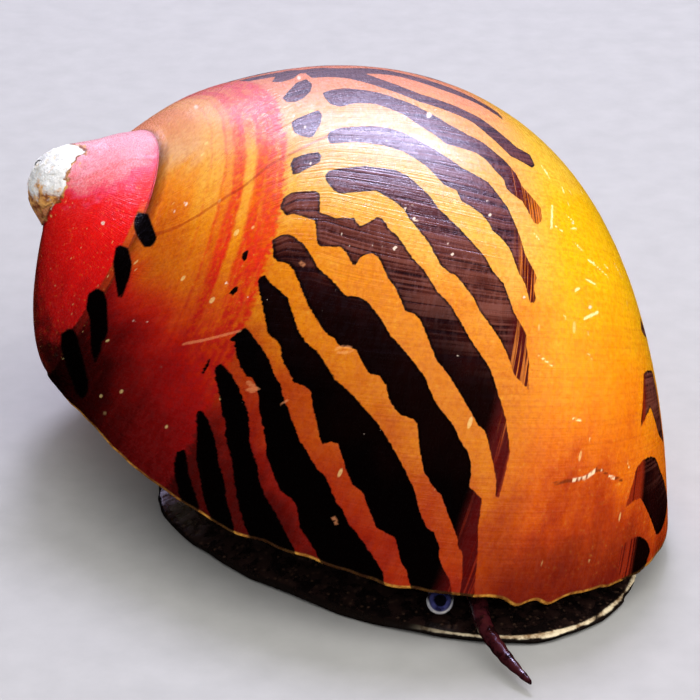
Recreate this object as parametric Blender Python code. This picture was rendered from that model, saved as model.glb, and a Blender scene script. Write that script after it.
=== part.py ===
"""Nerite snail, life size, crawling on a flat floor.

The shell is a helico-spiral: one superelliptic section that turns round the coiling axis and grows
at a constant rate. The animal's body fills the aperture and spreads below it as a flat foot.
Metres, +Z up, origin on the floor at the middle of the foot's sole.
"""
import math

import bmesh
import bpy
import numpy as np
from mathutils import Matrix, Vector

MM = 0.001
GAP = 0.3 * MM
FINE_GAP = 0.15 * MM

# Shell: coiling axis, from the apex down to the base
APEX = Vector((-10.0, 5.4, 8.9)) * MM
AXIS_TILT = math.radians(38.0)
AXIS_YAW = math.radians(4.0)

# Shell: section where the whorl passes above the axis, and its growth a radian
SECTION_RADIUS = 1.95 * MM
SECTION_DEPTH = 8.15 * MM
SECTION_LONG = 8.05 * MM
SECTION_SHORT = 5.4 * MM
SECTION_TURN = math.radians(-41.0)
SECTION_SQUARENESS = 2.15
GROWTH_OUT = 0.20
GROWTH_DOWN = 0.245
SPIRAL_END = 3.6
STEPS_PER_TURN = 54
COVERED_POINTS = 8
SHOWN_POINTS = 13
TURN = 2 * math.pi
SUTURE_SIGHTS = (-0.6, 0.9, 2.4)

# Shell: aperture plane, wall at the lip, and the deck that closes the aperture's far part
LIP_HEIGHT = 1.73 * MM
LIP_TILT = math.radians(7.0)
LIP_GROWTH = math.exp(GROWTH_OUT * 2.0)
WALL = 0.7 * MM
RECESS_DEPTH = 3.4 * MM
DECK_THICKNESS = 0.7 * MM
DECK_EDGE_Y = 3.0 * MM
CALLUS_CENTRE = Vector((-3.0, 6.3, 3.3)) * MM
CALLUS_RADII = Vector((3.6, 2.4, 1.9)) * MM

# Body: the way it heads, seen from above, and its rings: half length, half width, ahead, right, height
HEADING = math.radians(-35.0)
PLAN_SQUARENESS = 2.4
PLAN_POINTS = 36
FOOT_RINGS = [
    (6.9, 4.2, 0.0, 0.0, 0.0), (7.1, 4.4, 0.0, 0.0, 0.12), (7.0, 4.3, 0.0, 0.0, 0.28),
    (6.6, 3.9, 0.0, 0.0, 0.42), (5.9, 3.3, -0.4, 0.1, 0.5), (4.5, 2.9, -1.8, 0.3, 0.75),
    (4.2, 2.6, -2.1, 0.4, 1.05), (3.2, 2.4, -0.9, 0.6, 1.12), (3.1, 2.3, -0.8, 0.7, 1.6),
    (3.0, 2.2, -0.7, 0.7, 5.0)]
COLUMN_TOP = 1.6 * MM
MANTLE_EDGE = 0.4 * MM

# Head: rings across the heading: ahead, half width, half height, height of centre
HEAD_RIGHT = 0.5
HEAD_RINGS = [
    (2.65, 1.7, 0.8, 1.95), (3.1, 2.0, 0.9, 1.95), (3.9, 2.1, 0.9, 1.88), (4.7, 1.8, 0.74, 1.68),
    (5.3, 1.45, 0.55, 1.47), (5.75, 1.05, 0.38, 1.3), (5.95, 0.7, 0.22, 1.22)]

# Eyes: on short stalks outside the tentacles; ahead, out from the head's middle, height
EYE_RADIUS = 0.36 * MM
EYE_PLACE = (4.05, 2.93, 0.92)
STALK_ROOT = (3.95, 2.25, 1.5)
STALK_RADII = (0.5 * MM, 0.42 * MM)
FEELER_ROOM_PLACE = (4.5, HEAD_RIGHT, 1.2)
FEELER_ROOM = Vector((2.6, 4.3, 1.45)) * MM

# Tentacles: routes on the floor's axes, and radii along them
TENTACLE_ROUTES = {
    "right": [(2.55, -4.75, 1.2), (2.2, -5.2, 0.98), (2.3, -6.1, 0.7), (2.75, -7.1, 0.48), (3.3, -7.9, 0.34)],
    "left": [(4.85, -1.7, 1.3), (5.6, -1.2, 1.02), (6.2, -0.5, 0.9), (6.5, 0.5, 0.86), (6.5, 1.5, 0.9)]}
TENTACLE_RADII = (0.32 * MM, 0.17 * MM)
TENTACLE_TIP = 0.08 * MM
TENTACLE_LENGTHS = ("base", "mid", "tip")

# Operculum: a half-round plate on the back of the foot, level with the deck; ahead, right, height
OPERCULUM_PLACE = (-5.0, 0.1, 1.62)
OPERCULUM_SIZE = (2.6 * MM, 1.8 * MM, 0.5 * MM)
OPERCULUM_STRAIGHT_SIDE = 0.25


def coil_frame():
    """Axis (apex to base), and the two directions that the growth angle turns between."""
    axis = Vector((math.cos(AXIS_TILT) * math.cos(AXIS_YAW),
                   math.cos(AXIS_TILT) * math.sin(AXIS_YAW), -math.sin(AXIS_TILT)))
    down = Vector((0, 0, -1))
    up = -(down - axis * down.dot(axis)).normalized()
    near = axis.cross(up)
    return axis, up, near


AXIS, UP, NEAR = coil_frame()
LIP_NORMAL = Vector((math.sin(LIP_TILT), 0, math.cos(LIP_TILT)))
LIP_POINT = Vector((0, 0, LIP_HEIGHT))
AHEAD = Vector((math.cos(HEADING), math.sin(HEADING), 0))
RIGHT = Vector((math.sin(HEADING), -math.cos(HEADING), 0))


def body_point(ahead, right, height):
    """Point on the floor's axes from distances in millimetres along the body."""
    return (AHEAD * ahead + RIGHT * right + Vector((0, 0, height))) * MM


def signed_power(value, power):
    return math.copysign(abs(value) ** power, value)


# Shell

def section_point(angle, inset=0.0):
    """Distance from the axis and depth below the apex, on the section at growth angle 0."""
    power = 2 / SECTION_SQUARENESS
    long = (SECTION_LONG - inset) * signed_power(math.cos(angle), power)
    short = (SECTION_SHORT - inset) * signed_power(math.sin(angle), power)
    c, s = math.cos(SECTION_TURN), math.sin(SECTION_TURN)
    return SECTION_RADIUS + long * c - short * s, SECTION_DEPTH - (long * s + short * c)


def coil_point(growth, angle, inset=0.0):
    """Point of the shell's surface at a growth angle round the axis and a section angle."""
    radius, depth = section_point(angle, inset)
    side = UP * math.cos(growth) + NEAR * math.sin(growth)
    return (APEX + side * radius * math.exp(GROWTH_OUT * growth)
            + AXIS * depth * math.exp(GROWTH_DOWN * growth))


def bisect(function, low, high):
    """Root of a function that is positive at low and negative at high."""
    for _ in range(50):
        middle = (low + high) / 2
        if function(middle) > 0:
            low = middle
        else:
            high = middle
    return (low + high) / 2


def contact_angles(inset=0.0):
    """Section angle of the suture, and the angle on the whorl before that it rests on."""
    c, s = math.cos(SECTION_TURN), math.sin(SECTION_TURN)

    def on_whorl_before(angle):
        radius, depth = section_point(angle, inset)
        out = radius * math.exp(GROWTH_OUT * TURN) - SECTION_RADIUS
        rise = SECTION_DEPTH - depth * math.exp(GROWTH_DOWN * TURN)
        return (out * c + rise * s) / (SECTION_LONG - inset), (rise * c - out * s) / (SECTION_SHORT - inset)

    def outside(angle):
        long, short = on_whorl_before(angle)
        return abs(long) ** SECTION_SQUARENESS + abs(short) ** SECTION_SQUARENESS - 1

    suture = bisect(outside, 1.5, 2.6)
    long, short = on_whorl_before(suture)
    power = SECTION_SQUARENESS / 2
    return suture, math.atan2(signed_power(short, power), signed_power(long, power))


def coil_solid(name, inset=0.0, end=SPIRAL_END):
    """Closed solid of the coiled shell: sections fanned round the axis, with a wall where growth ends."""
    suture, contact = contact_angles(inset)
    base = bisect(lambda angle: -section_point(angle, inset)[0], -math.pi / 2, 0)
    covered = list(np.linspace(base, contact, COVERED_POINTS + 1)[:-1])
    shown = list(np.linspace(contact, suture, SHOWN_POINTS + 1)[:-1])
    rows = [(0, angle) for angle in covered + shown]
    rows += [(1, angle) for angle in shown] + [(2, angle) for angle in shown]
    bm = bmesh.new()
    pole = bm.verts.new(APEX)
    sections = []
    for step in range(STEPS_PER_TURN):
        growth = end - TURN * (1 - step / STEPS_PER_TURN)
        sections.append([bm.verts.new(coil_point(growth - TURN * whorl, angle, inset))
                         for whorl, angle in rows])
    first = sections[0]
    last = [bm.verts.new(coil_point(end, angle, inset)) for angle in covered + shown]
    sections.append(last + first[COVERED_POINTS:COVERED_POINTS + 2 * SHOWN_POINTS])
    for here, there in zip(sections, sections[1:]):
        for row in range(len(rows) - 1):
            bm.faces.new((here[row], there[row], there[row + 1], here[row + 1]))
        bm.faces.new((here[-1], there[-1], pole))
    axis_run = [section[0] for section in sections[1:-1]]
    bm.faces.new(last + first[COVERED_POINTS::-1] + axis_run)
    bm.faces.new(first[COVERED_POINTS + 2 * SHOWN_POINTS - 1:] + [pole])
    return finished(name, bm)


# Solids and Booleans

def finished(name, bm):
    """Object of a closed bmesh, with its faces pointing out."""
    bmesh.ops.recalc_face_normals(bm, faces=bm.faces)
    mesh = bpy.data.meshes.new(name)
    bm.to_mesh(mesh)
    bm.free()
    obj = bpy.data.objects.new(name, mesh)
    PARTS.objects.link(obj)
    return obj


def half_space(point, normal, size=60 * MM):
    """Large box on the normal's side of a plane through the point."""
    bm = bmesh.new()
    bmesh.ops.create_cube(bm, size=size)
    turn = normal.to_track_quat("Z", "Y").to_matrix().to_4x4()
    place = Matrix.Translation(point + normal.normalized() * size / 2)
    bmesh.ops.transform(bm, matrix=place @ turn, verts=bm.verts)
    return finished("half_space", bm)


def join(target, other, operation, solver="EXACT"):
    """Apply a Boolean of another closed object to the target, and remove that object."""
    modifier = target.modifiers.new(operation.title(), "BOOLEAN")
    modifier.operation = operation
    modifier.object = other
    modifier.solver = solver
    depsgraph = bpy.context.evaluated_depsgraph_get()
    mesh = bpy.data.meshes.new_from_object(target.evaluated_get(depsgraph))
    target.modifiers.clear()
    old = target.data
    target.data = mesh
    bpy.data.meshes.remove(old)
    bpy.data.objects.remove(other)
    keep_largest(target)
    return target


def keep_largest(obj):
    """Keep the largest closed surface of a mesh."""
    bm = bmesh.new()
    bm.from_mesh(obj.data)
    bm.verts.ensure_lookup_table()
    unseen = set(bm.verts)
    bodies = []
    while unseen:
        stack = [unseen.pop()]
        body = set(stack)
        while stack:
            for edge in stack.pop().link_edges:
                for vert in edge.verts:
                    if vert in unseen:
                        unseen.discard(vert)
                        body.add(vert)
                        stack.append(vert)
        bodies.append(body)
    bodies.sort(key=len)
    for body in bodies[:-1]:
        bmesh.ops.delete(bm, geom=list(body), context="VERTS")
    bm.to_mesh(obj.data)
    bm.free()


def cut_by_plane(obj, point, normal):
    """Remove what lies on the normal's side of a plane."""
    return join(obj, half_space(point, normal), "DIFFERENCE")


def ellipsoid(name, centre, radii, segments=24, rings=12, turn=None):
    bm = bmesh.new()
    bmesh.ops.create_uvsphere(bm, u_segments=segments, v_segments=rings, radius=1)
    shape = (turn or Matrix.Identity(4)) @ Matrix.Diagonal((*radii, 1))
    bmesh.ops.transform(bm, matrix=Matrix.Translation(centre) @ shape, verts=bm.verts)
    return finished(name, bm)


def loft(name, rings):
    """Closed solid through rings of like point counts, with flat ends."""
    bm = bmesh.new()
    loops = [[bm.verts.new(point) for point in ring] for ring in rings]
    for here, there in zip(loops, loops[1:]):
        for i in range(len(here)):
            j = (i + 1) % len(here)
            bm.faces.new((here[i], here[j], there[j], there[i]))
    bm.faces.new(loops[0][::-1])
    bm.faces.new(loops[-1])
    return finished(name, bm)


def superellipse(points=PLAN_POINTS, squareness=PLAN_SQUARENESS):
    for i in range(points):
        angle = TURN * i / points
        yield signed_power(math.cos(angle), 2 / squareness), signed_power(math.sin(angle), 2 / squareness)


# Parts of the shell

def recess_solid(inset_at_lip, low, high):
    """Slab of the shell's inside between two heights above the aperture plane."""
    solid = coil_solid("recess", inset_at_lip / LIP_GROWTH, SPIRAL_END - 0.14)
    point, normal = suture_plane(0)
    cut_by_plane(solid, point - normal * (GAP / 2 + inset_at_lip), normal)
    cut_by_plane(solid, LIP_POINT + LIP_NORMAL * low, -LIP_NORMAL)
    return cut_by_plane(solid, LIP_POINT + LIP_NORMAL * high, LIP_NORMAL)


def suture_plane(turns_back):
    """Plane through three points of the suture, and its normal towards the apex."""
    suture = contact_angles()[0]
    a, b, c = [coil_point(growth - TURN * turns_back, suture) for growth in SUTURE_SIGHTS]
    normal = (b - a).cross(c - a).normalized()
    return (a + b + c) / 3, normal if normal.dot(AXIS) < 0 else -normal


def build_shell():
    body = coil_solid("shell_body_whorl")
    spire = coil_solid("shell_spire")
    apex = coil_solid("shell_apex")
    point, normal = suture_plane(0)
    cut_by_plane(body, point - normal * GAP / 2, normal)
    cut_by_plane(spire, point + normal * GAP / 2, -normal)
    point, normal = suture_plane(1)
    cut_by_plane(spire, point - normal * GAP / 2, normal)
    cut_by_plane(apex, point + normal * GAP / 2, -normal)
    join(body, ellipsoid("callus", CALLUS_CENTRE, CALLUS_RADII), "UNION")
    cut_by_plane(body, LIP_POINT, -LIP_NORMAL)
    join(body, recess_solid(WALL, -2 * MM, RECESS_DEPTH), "DIFFERENCE")
    return body, spire, apex


def build_deck():
    deck = recess_solid(WALL + GAP, 0.05 * MM, 0.05 * MM + DECK_THICKNESS)
    deck.name = "columella_deck"
    return cut_by_plane(deck, Vector((0, DECK_EDGE_Y, 0)), Vector((0, -1, 0)))


# Parts of the body

def foot_solid(name, grow=0.0):
    rings = []
    for long, wide, ahead, right, height in FOOT_RINGS:
        rings.append([body_point(ahead + (long + grow) * x, right + (wide + grow) * y, height)
                      for x, y in superellipse()])
    return loft(name, rings)


def build_foot():
    foot = foot_solid("foot")
    return cut_by_plane(foot, LIP_POINT + LIP_NORMAL * COLUMN_TOP, LIP_NORMAL)


def head_solid(name, grow=0.0):
    rings = []
    for ahead, wide, high, height in HEAD_RINGS:
        rings.append([body_point(ahead, HEAD_RIGHT + (wide + grow) * x, height + (high + grow) * y)
                      for x, y in superellipse(24, 2.3)])
    return loft(name, rings)


def build_head():
    head = head_solid("head")
    lobes = [ellipsoid("lobe", body_point(5.45, HEAD_RIGHT + side * 0.5, 1.08),
                       Vector((0.55, 0.55, 0.3)) * MM, 16, 8) for side in (-1, 1)]
    for lobe in lobes:
        join(head, lobe, "UNION")
    slit = ellipsoid("slit", body_point(5.7, HEAD_RIGHT, 0.86), Vector((0.9, 0.16, 0.34)) * MM, 16, 8,
                     Matrix.Rotation(HEADING, 4, "Z"))
    return join(head, slit, "DIFFERENCE")


def build_mantle():
    """Soft mass that fills the recess round the head and the foot's column."""
    mantle = recess_solid(WALL + GAP, MANTLE_EDGE, RECESS_DEPTH - GAP)
    mantle.name = "mantle"
    join(mantle, head_solid("room", 0.3), "DIFFERENCE")
    join(mantle, ellipsoid("room", body_point(*FEELER_ROOM_PLACE), FEELER_ROOM, 24, 12,
                           Matrix.Rotation(HEADING, 4, "Z")), "DIFFERENCE")
    column = foot_solid("room", 0.3)
    cut_by_plane(column, LIP_POINT + LIP_NORMAL * (COLUMN_TOP + GAP), LIP_NORMAL)
    join(mantle, column, "DIFFERENCE")
    deck_room = half_space(Vector((0, DECK_EDGE_Y - GAP, 0)), Vector((0, 1, 0)))
    cut_by_plane(deck_room, LIP_POINT + LIP_NORMAL * (0.05 * MM + DECK_THICKNESS + GAP), LIP_NORMAL)
    return join(mantle, deck_room, "DIFFERENCE")


def build_operculum():
    long, wide, thick = OPERCULUM_SIZE
    rings = []
    for height in (-thick / 2, thick / 2):
        ring = []
        for x, y in superellipse(28, 2.2):
            ring.append(Vector((-wide * (y if y > 0 else OPERCULUM_STRAIGHT_SIDE * y), long * x, height)))
        rings.append(ring)
    plate = loft("operculum", rings)
    plate.data.transform(Matrix.Translation(body_point(*OPERCULUM_PLACE)) @ Matrix.Rotation(LIP_TILT, 4, "Y")
                         @ Matrix.Rotation(HEADING, 4, "Z"))
    return plate


def tube(name, start, end, radius_start, radius_end, points=12):
    """Tapered round length between two points, with flat ends."""
    along = (end - start).normalized()
    turn = along.to_track_quat("Z", "Y")
    rings = []
    for centre, radius in ((start, radius_start), (end, radius_end)):
        rings.append([centre + turn @ Vector((radius * math.cos(TURN * i / points),
                                              radius * math.sin(TURN * i / points), 0))
                      for i in range(points)])
    return loft(name, rings)


def build_eyes():
    for name, side in (("right", 1), ("left", -1)):
        ahead, out, height = EYE_PLACE
        eye = body_point(ahead, HEAD_RIGHT + side * out, height)
        ahead, out, height = STALK_ROOT
        root = body_point(ahead, HEAD_RIGHT + side * out, height)
        along = (eye - root).normalized()
        tube("eyestalk_" + name, root, eye - along * (EYE_RADIUS + FINE_GAP), *STALK_RADII)
        ellipsoid("eye_" + name, eye, [EYE_RADIUS] * 3, 16, 10)


def smooth_route(points, count):
    """Catmull-Rom curve through points given in millimetres."""
    knots = [Vector(point) * MM for point in points]
    knots = [2 * knots[0] - knots[1]] + knots + [2 * knots[-1] - knots[-2]]
    route = []
    spans = len(knots) - 3
    for i in range(count + 1):
        place = min(i / count * spans, spans - 1e-6)
        span = int(place)
        t = place - span
        a, b, c, d = knots[span:span + 4]
        route.append(0.5 * (2 * b + (c - a) * t + (2 * a - 5 * b + 4 * c - d) * t * t
                            + (3 * b - a - 3 * c + d) * t ** 3))
    return route


def build_tentacles():
    per_length = 6
    count = per_length * len(TENTACLE_LENGTHS)
    for side, points in TENTACLE_ROUTES.items():
        route = smooth_route(points, count)
        for number, length in enumerate(TENTACLE_LENGTHS):
            rings = []
            for step in range(number * per_length, (number + 1) * per_length + 1):
                along = (route[min(step + 1, count)] - route[max(step - 1, 0)]).normalized()
                centre = route[step]
                if step == number * per_length and number:
                    centre = centre + along * FINE_GAP
                share = step / count
                radius = TENTACLE_RADII[0] * (1 - share) + TENTACLE_RADII[1] * share
                radius = TENTACLE_TIP if step == count else radius
                turn = along.to_track_quat("Z", "Y")
                rings.append([centre + turn @ Vector((radius * math.cos(TURN * i / 12),
                                                      radius * math.sin(TURN * i / 12), 0)) for i in range(12)])
            loft("tentacle_%s_%s" % (side, length), rings)


# Materials: colour, roughness

LOOKS = {
    "shell": ((0.85, 0.42, 0.06), 0.2), "shell_spire": ((0.55, 0.03, 0.03), 0.25),
    "shell_apex": ((0.9, 0.86, 0.75), 0.6), "columella": ((0.8, 0.74, 0.6), 0.35),
    "operculum": ((0.62, 0.45, 0.3), 0.4), "eye": ((0.02, 0.02, 0.03), 0.1),
    "flesh": ((0.07, 0.05, 0.05), 0.35)}


def give_material(obj):
    key = next((key for key in ("shell_spire", "shell_apex", "shell", "columella", "operculum")
                if obj.name.startswith(key)), "flesh")
    if obj.name.startswith("eye_"):
        key = "eye"
    colour, roughness = LOOKS[key]
    material = bpy.data.materials.new(obj.name)
    material.use_nodes = True
    shader = material.node_tree.nodes["Principled BSDF"]
    shader.inputs["Base Color"].default_value = (*colour, 1)
    shader.inputs["Roughness"].default_value = roughness
    shader.inputs["Metallic"].default_value = 0
    obj.data.materials.clear()
    obj.data.materials.append(material)
    obj.data.shade_smooth()
    obj.data.set_sharp_from_angle(angle=math.radians(35))


for item in list(bpy.data.objects):
    bpy.data.objects.remove(item)
PARTS = bpy.data.collections.new("nerite_snail")
bpy.context.scene.collection.children.link(PARTS)
build_shell()
build_deck()
build_mantle()
build_foot()
build_head()
build_operculum()
build_eyes()
build_tentacles()
for item in PARTS.objects:
    give_material(item)
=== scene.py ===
"""Looks of the nerite snail: the shell with its pattern, the soft body, the deck and the operculum.

Lengths are millimetres in the numpy arrays and metres once they are in a mesh.
"""
import math
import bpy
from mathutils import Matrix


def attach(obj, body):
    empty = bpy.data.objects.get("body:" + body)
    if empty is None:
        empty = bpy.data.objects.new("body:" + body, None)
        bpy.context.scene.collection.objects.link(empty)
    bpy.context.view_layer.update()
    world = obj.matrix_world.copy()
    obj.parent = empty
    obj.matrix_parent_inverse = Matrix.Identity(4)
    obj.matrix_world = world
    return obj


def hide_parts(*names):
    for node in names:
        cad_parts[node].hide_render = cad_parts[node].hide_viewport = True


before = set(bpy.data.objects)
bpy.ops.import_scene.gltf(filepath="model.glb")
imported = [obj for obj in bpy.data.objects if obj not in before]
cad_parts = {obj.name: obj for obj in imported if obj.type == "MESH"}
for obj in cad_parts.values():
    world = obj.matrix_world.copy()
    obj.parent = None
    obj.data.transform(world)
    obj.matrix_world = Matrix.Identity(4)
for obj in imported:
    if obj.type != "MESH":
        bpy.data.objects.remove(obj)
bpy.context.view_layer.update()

from types import SimpleNamespace

import bmesh
import bpy
import numpy as np
from mathutils import Matrix, Vector, noise
from mathutils.bvhtree import BVHTree

MM = 0.001
TURN = 2 * math.pi
RANDOM = np.random.default_rng(18)

# The same named values as the part's source: the coil
APEX = np.array([-10.0, 5.4, 8.9])
AXIS_TILT = math.radians(38.0)
AXIS_YAW = math.radians(4.0)
SECTION_RADIUS = 1.95
SECTION_DEPTH = 8.15
SECTION_LONG = 8.05
SECTION_SHORT = 5.4
SECTION_TURN = math.radians(-41.0)
SECTION_SQUARENESS = 2.15
GROWTH_OUT = 0.20
GROWTH_DOWN = 0.245
LIP_HEIGHT = 1.73
LIP_TILT = math.radians(7.0)
DECK_EDGE_Y = 3.0
WIDER = math.exp(GROWTH_OUT * TURN)
DEEPER = math.exp(GROWTH_DOWN * TURN)

SPIRE_SINK = 0.46
SPIRE_SINK_DEPTHS = (0.2, 1.0, 3.5)

# Camera: the photograph's framing, 700 pixels square
PHOTO_PIXELS = 700
PHOTO_MIDDLE = PHOTO_PIXELS / 2
AIM = np.array([-1.0, 3.0, 4.13])
CAMERA_RISE = math.radians(27.0)
CAMERA_DISTANCE = 80.0
PIXELS_PER_MM = 35.5
SENSOR = 36.0
CAMERA_BACK = np.array([0.0, -math.cos(CAMERA_RISE), math.sin(CAMERA_RISE)])
CAMERA_UP = np.array([0.0, math.sin(CAMERA_RISE), math.cos(CAMERA_RISE)])
CAMERA_POINT = AIM + CAMERA_DISTANCE * CAMERA_BACK


def place_camera():
    data = bpy.data.cameras.new("camera")
    data.sensor_width = SENSOR
    data.lens = SENSOR * CAMERA_DISTANCE * PIXELS_PER_MM / PHOTO_PIXELS
    data.clip_start = 0.001
    data.clip_end = 10
    camera = add_object("camera", data)
    camera.location = CAMERA_POINT * MM
    camera.rotation_euler = (math.pi / 2 - CAMERA_RISE, 0, 0)
    bpy.context.scene.camera = camera


def add_object(name, data):
    obj = bpy.data.objects.new(name, data)
    bpy.context.scene.collection.objects.link(obj)
    return obj


place_camera()


# Shell maths

def coil_frame():
    axis = np.array([math.cos(AXIS_TILT) * math.cos(AXIS_YAW),
                     math.cos(AXIS_TILT) * math.sin(AXIS_YAW), -math.sin(AXIS_TILT)])
    down = np.array([0.0, 0.0, -1.0])
    up = axis * down.dot(axis) - down
    up /= np.linalg.norm(up)
    return axis, up, np.cross(axis, up)


AXIS, UP, NEAR = coil_frame()
LIP_NORMAL = np.array([math.sin(LIP_TILT), 0.0, math.cos(LIP_TILT)])
LIP_POINT = np.array([0.0, 0.0, LIP_HEIGHT])
SECTION_COS, SECTION_SIN = math.cos(SECTION_TURN), math.sin(SECTION_TURN)


def signed_power(value, power):
    return np.sign(value) * np.abs(value) ** power


def smooth(low, high, value):
    share = np.clip((value - low) / (high - low), 0, 1)
    return share * share * (3 - 2 * share)


def bell(value, width):
    return np.exp(-(value / width) ** 2)


def section_point(angle, inset=0.0):
    """Distance from the axis and depth below the apex, on the section at growth angle 0."""
    power = 2 / SECTION_SQUARENESS
    long = (SECTION_LONG - inset) * signed_power(np.cos(angle), power)
    short = (SECTION_SHORT - inset) * signed_power(np.sin(angle), power)
    return (SECTION_RADIUS + long * SECTION_COS - short * SECTION_SIN,
            SECTION_DEPTH - (long * SECTION_SIN + short * SECTION_COS))


def section_shares(radius, depth):
    """A point of the section's plane, as shares of the section's half axes."""
    out, rise = radius - SECTION_RADIUS, SECTION_DEPTH - depth
    return ((out * SECTION_COS + rise * SECTION_SIN) / SECTION_LONG,
            (rise * SECTION_COS - out * SECTION_SIN) / SECTION_SHORT)


def coil_place(growth, radius, depth):
    """Point at some distance from the axis and depth, both given at growth angle 0."""
    side = np.cos(growth)[..., None] * UP + np.sin(growth)[..., None] * NEAR
    return (side * (radius * np.exp(GROWTH_OUT * growth))[..., None]
            + AXIS * (depth * np.exp(GROWTH_DOWN * growth))[..., None])


def coil_point(growth, angle, inset=0.0):
    """Points of the shell's surface, with the wall thickness to go in at growth angle 0."""
    radius, depth = section_point(angle, inset)
    return APEX + coil_place(growth, np.maximum(radius, 0.01), depth)


def section_gap(radius, depth):
    """Rough distance of a point in the section's plane from the section's curve, positive outside."""
    long, short = (np.abs(share) for share in section_shares(radius, depth))
    power = SECTION_SQUARENESS
    value = np.maximum((long ** power + short ** power) ** (1 / power), 1e-6)
    steepness = np.hypot(long ** (power - 1) / SECTION_LONG, short ** (power - 1) / SECTION_SHORT)
    return (value - 1) / (value ** (1 - power) * steepness)


def settle_spire(points):
    """Let the spire's shoulders sink a little along the axis, as the photograph shows them."""
    depth = (points - APEX) @ AXIS
    rise, peak, fall = SPIRE_SINK_DEPTHS
    sink = SPIRE_SINK * smooth(rise, peak, depth) * (1 - smooth(peak, fall, depth))
    return points + AXIS * sink[..., None]


def above_lip(points):
    return (points - LIP_POINT) @ LIP_NORMAL


def bisect(function, low, high):
    """Roots of functions that are positive at low and negative at high."""
    low, high = np.broadcast_arrays(np.float64(low), np.float64(high))
    for _ in range(45):
        middle = (low + high) / 2
        over = function(middle) > 0
        low, high = np.where(over, middle, low), np.where(over, high, middle)
    return (low + high) / 2


def contact_angles():
    """Section angle of the suture, and the angle on the whorl before that it rests on."""
    def on_whorl_before(angle):
        radius, depth = section_point(angle)
        return section_shares(radius * WIDER, depth * DEEPER)

    def outside(angle):
        return sum(np.abs(share) ** SECTION_SQUARENESS for share in on_whorl_before(angle)) - 1

    suture = bisect(outside, 1.5, 2.6)
    long, short = on_whorl_before(suture)
    power = SECTION_SQUARENESS / 2
    return float(suture), math.atan2(signed_power(short, power), signed_power(long, power))


SUTURE, CONTACT = contact_angles()
BASE = float(bisect(lambda angle: -section_point(angle)[0], -math.pi / 2, 0))


def lip_growth(angle):
    """Growth angle at which each section angle meets the aperture's plane."""
    angle = np.asarray(angle, dtype=float)
    return bisect(lambda growth: above_lip(coil_point(growth, angle)),
                  np.full(angle.shape, -1.3), np.full(angle.shape, 3.6))


# Meshes and nodes

def mesh_piece(name, points, faces, replaced=()):
    """A smooth piece from points in millimetres, facing outwards and riding on the one body."""
    mesh = bpy.data.meshes.new(name)
    faces = faces.tolist() if isinstance(faces, np.ndarray) else faces
    mesh.from_pydata((np.asarray(points) * MM).tolist(), [], faces)
    mesh.validate()
    bm = bmesh.new()
    bm.from_mesh(mesh)
    if bm.calc_volume(signed=True) < 0:
        mesh.flip_normals()
    bm.free()
    obj = add_object(name, mesh)
    mesh.shade_smooth()
    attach(obj, "root")
    if replaced:
        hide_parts(*replaced)
    return obj


def grid_faces(rows, columns, offset=0):
    index = np.arange(rows * columns).reshape(rows, columns) + offset
    quads = np.stack([index[:-1, :-1], index[:-1, 1:], index[1:, 1:], index[1:, :-1]], axis=-1)
    return quads.reshape(-1, 4)


def store(piece, **layers):
    """Keep numbers or vectors on the piece's vertices."""
    for name, values in layers.items():
        values = np.asarray(values, dtype=np.float32)
        kind, field = ("FLOAT", "value") if values.ndim == 1 else ("FLOAT_VECTOR", "vector")
        piece.data.attributes.new(name, kind, "POINT").data.foreach_set(field, values.ravel())


def hue(colour):
    """Linear colour from display values of 0 to 255."""
    return tuple((channel / 255 / 12.92) if channel <= 10 else ((channel / 255 + 0.055) / 1.055) ** 2.4
                 for channel in colour)


class Nodes:
    """Short calls for building one node material."""

    def __init__(self, name):
        self.material = bpy.data.materials.new(name)
        self.material.use_nodes = True
        self.tree = self.material.node_tree
        self.shader = self.tree.nodes["Principled BSDF"]

    def put(self, socket, value):
        if isinstance(value, Value):
            self.tree.links.new(value.socket, socket)
        elif socket.type == "RGBA":
            socket.default_value = (*hue(value), 1)
        else:
            socket.default_value = value

    def add(self, kind, inputs, output=0, **settings):
        """A new node's output, with the node's inputs and settings given."""
        node = self.tree.nodes.new("ShaderNode" + kind)
        for name, value in settings.items():
            setattr(node, name, value)
        for name, value in inputs.items():
            self.put(node.inputs[name], value)
        return Value(self, node.outputs[output])

    def value(self, name):
        return self.add("Attribute", {}, "Fac", attribute_name=name)

    def vector(self, name):
        return self.add("Attribute", {}, "Vector", attribute_name=name)

    def place(self):
        return self.add("TexCoord", {}, "Object")

    def bump(self, height, strength, distance, **before):
        return self.add("Bump", {"Strength": strength, "Distance": distance, "Height": height, **before})

    def finish(self, *pieces, **values):
        """Set the shader's inputs and give the material to some pieces."""
        for name, value in values.items():
            self.put(self.shader.inputs[name.replace("_", " ")], value)
        for piece in pieces:
            piece.data.materials.clear()
            piece.data.materials.append(self.material)


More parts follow.
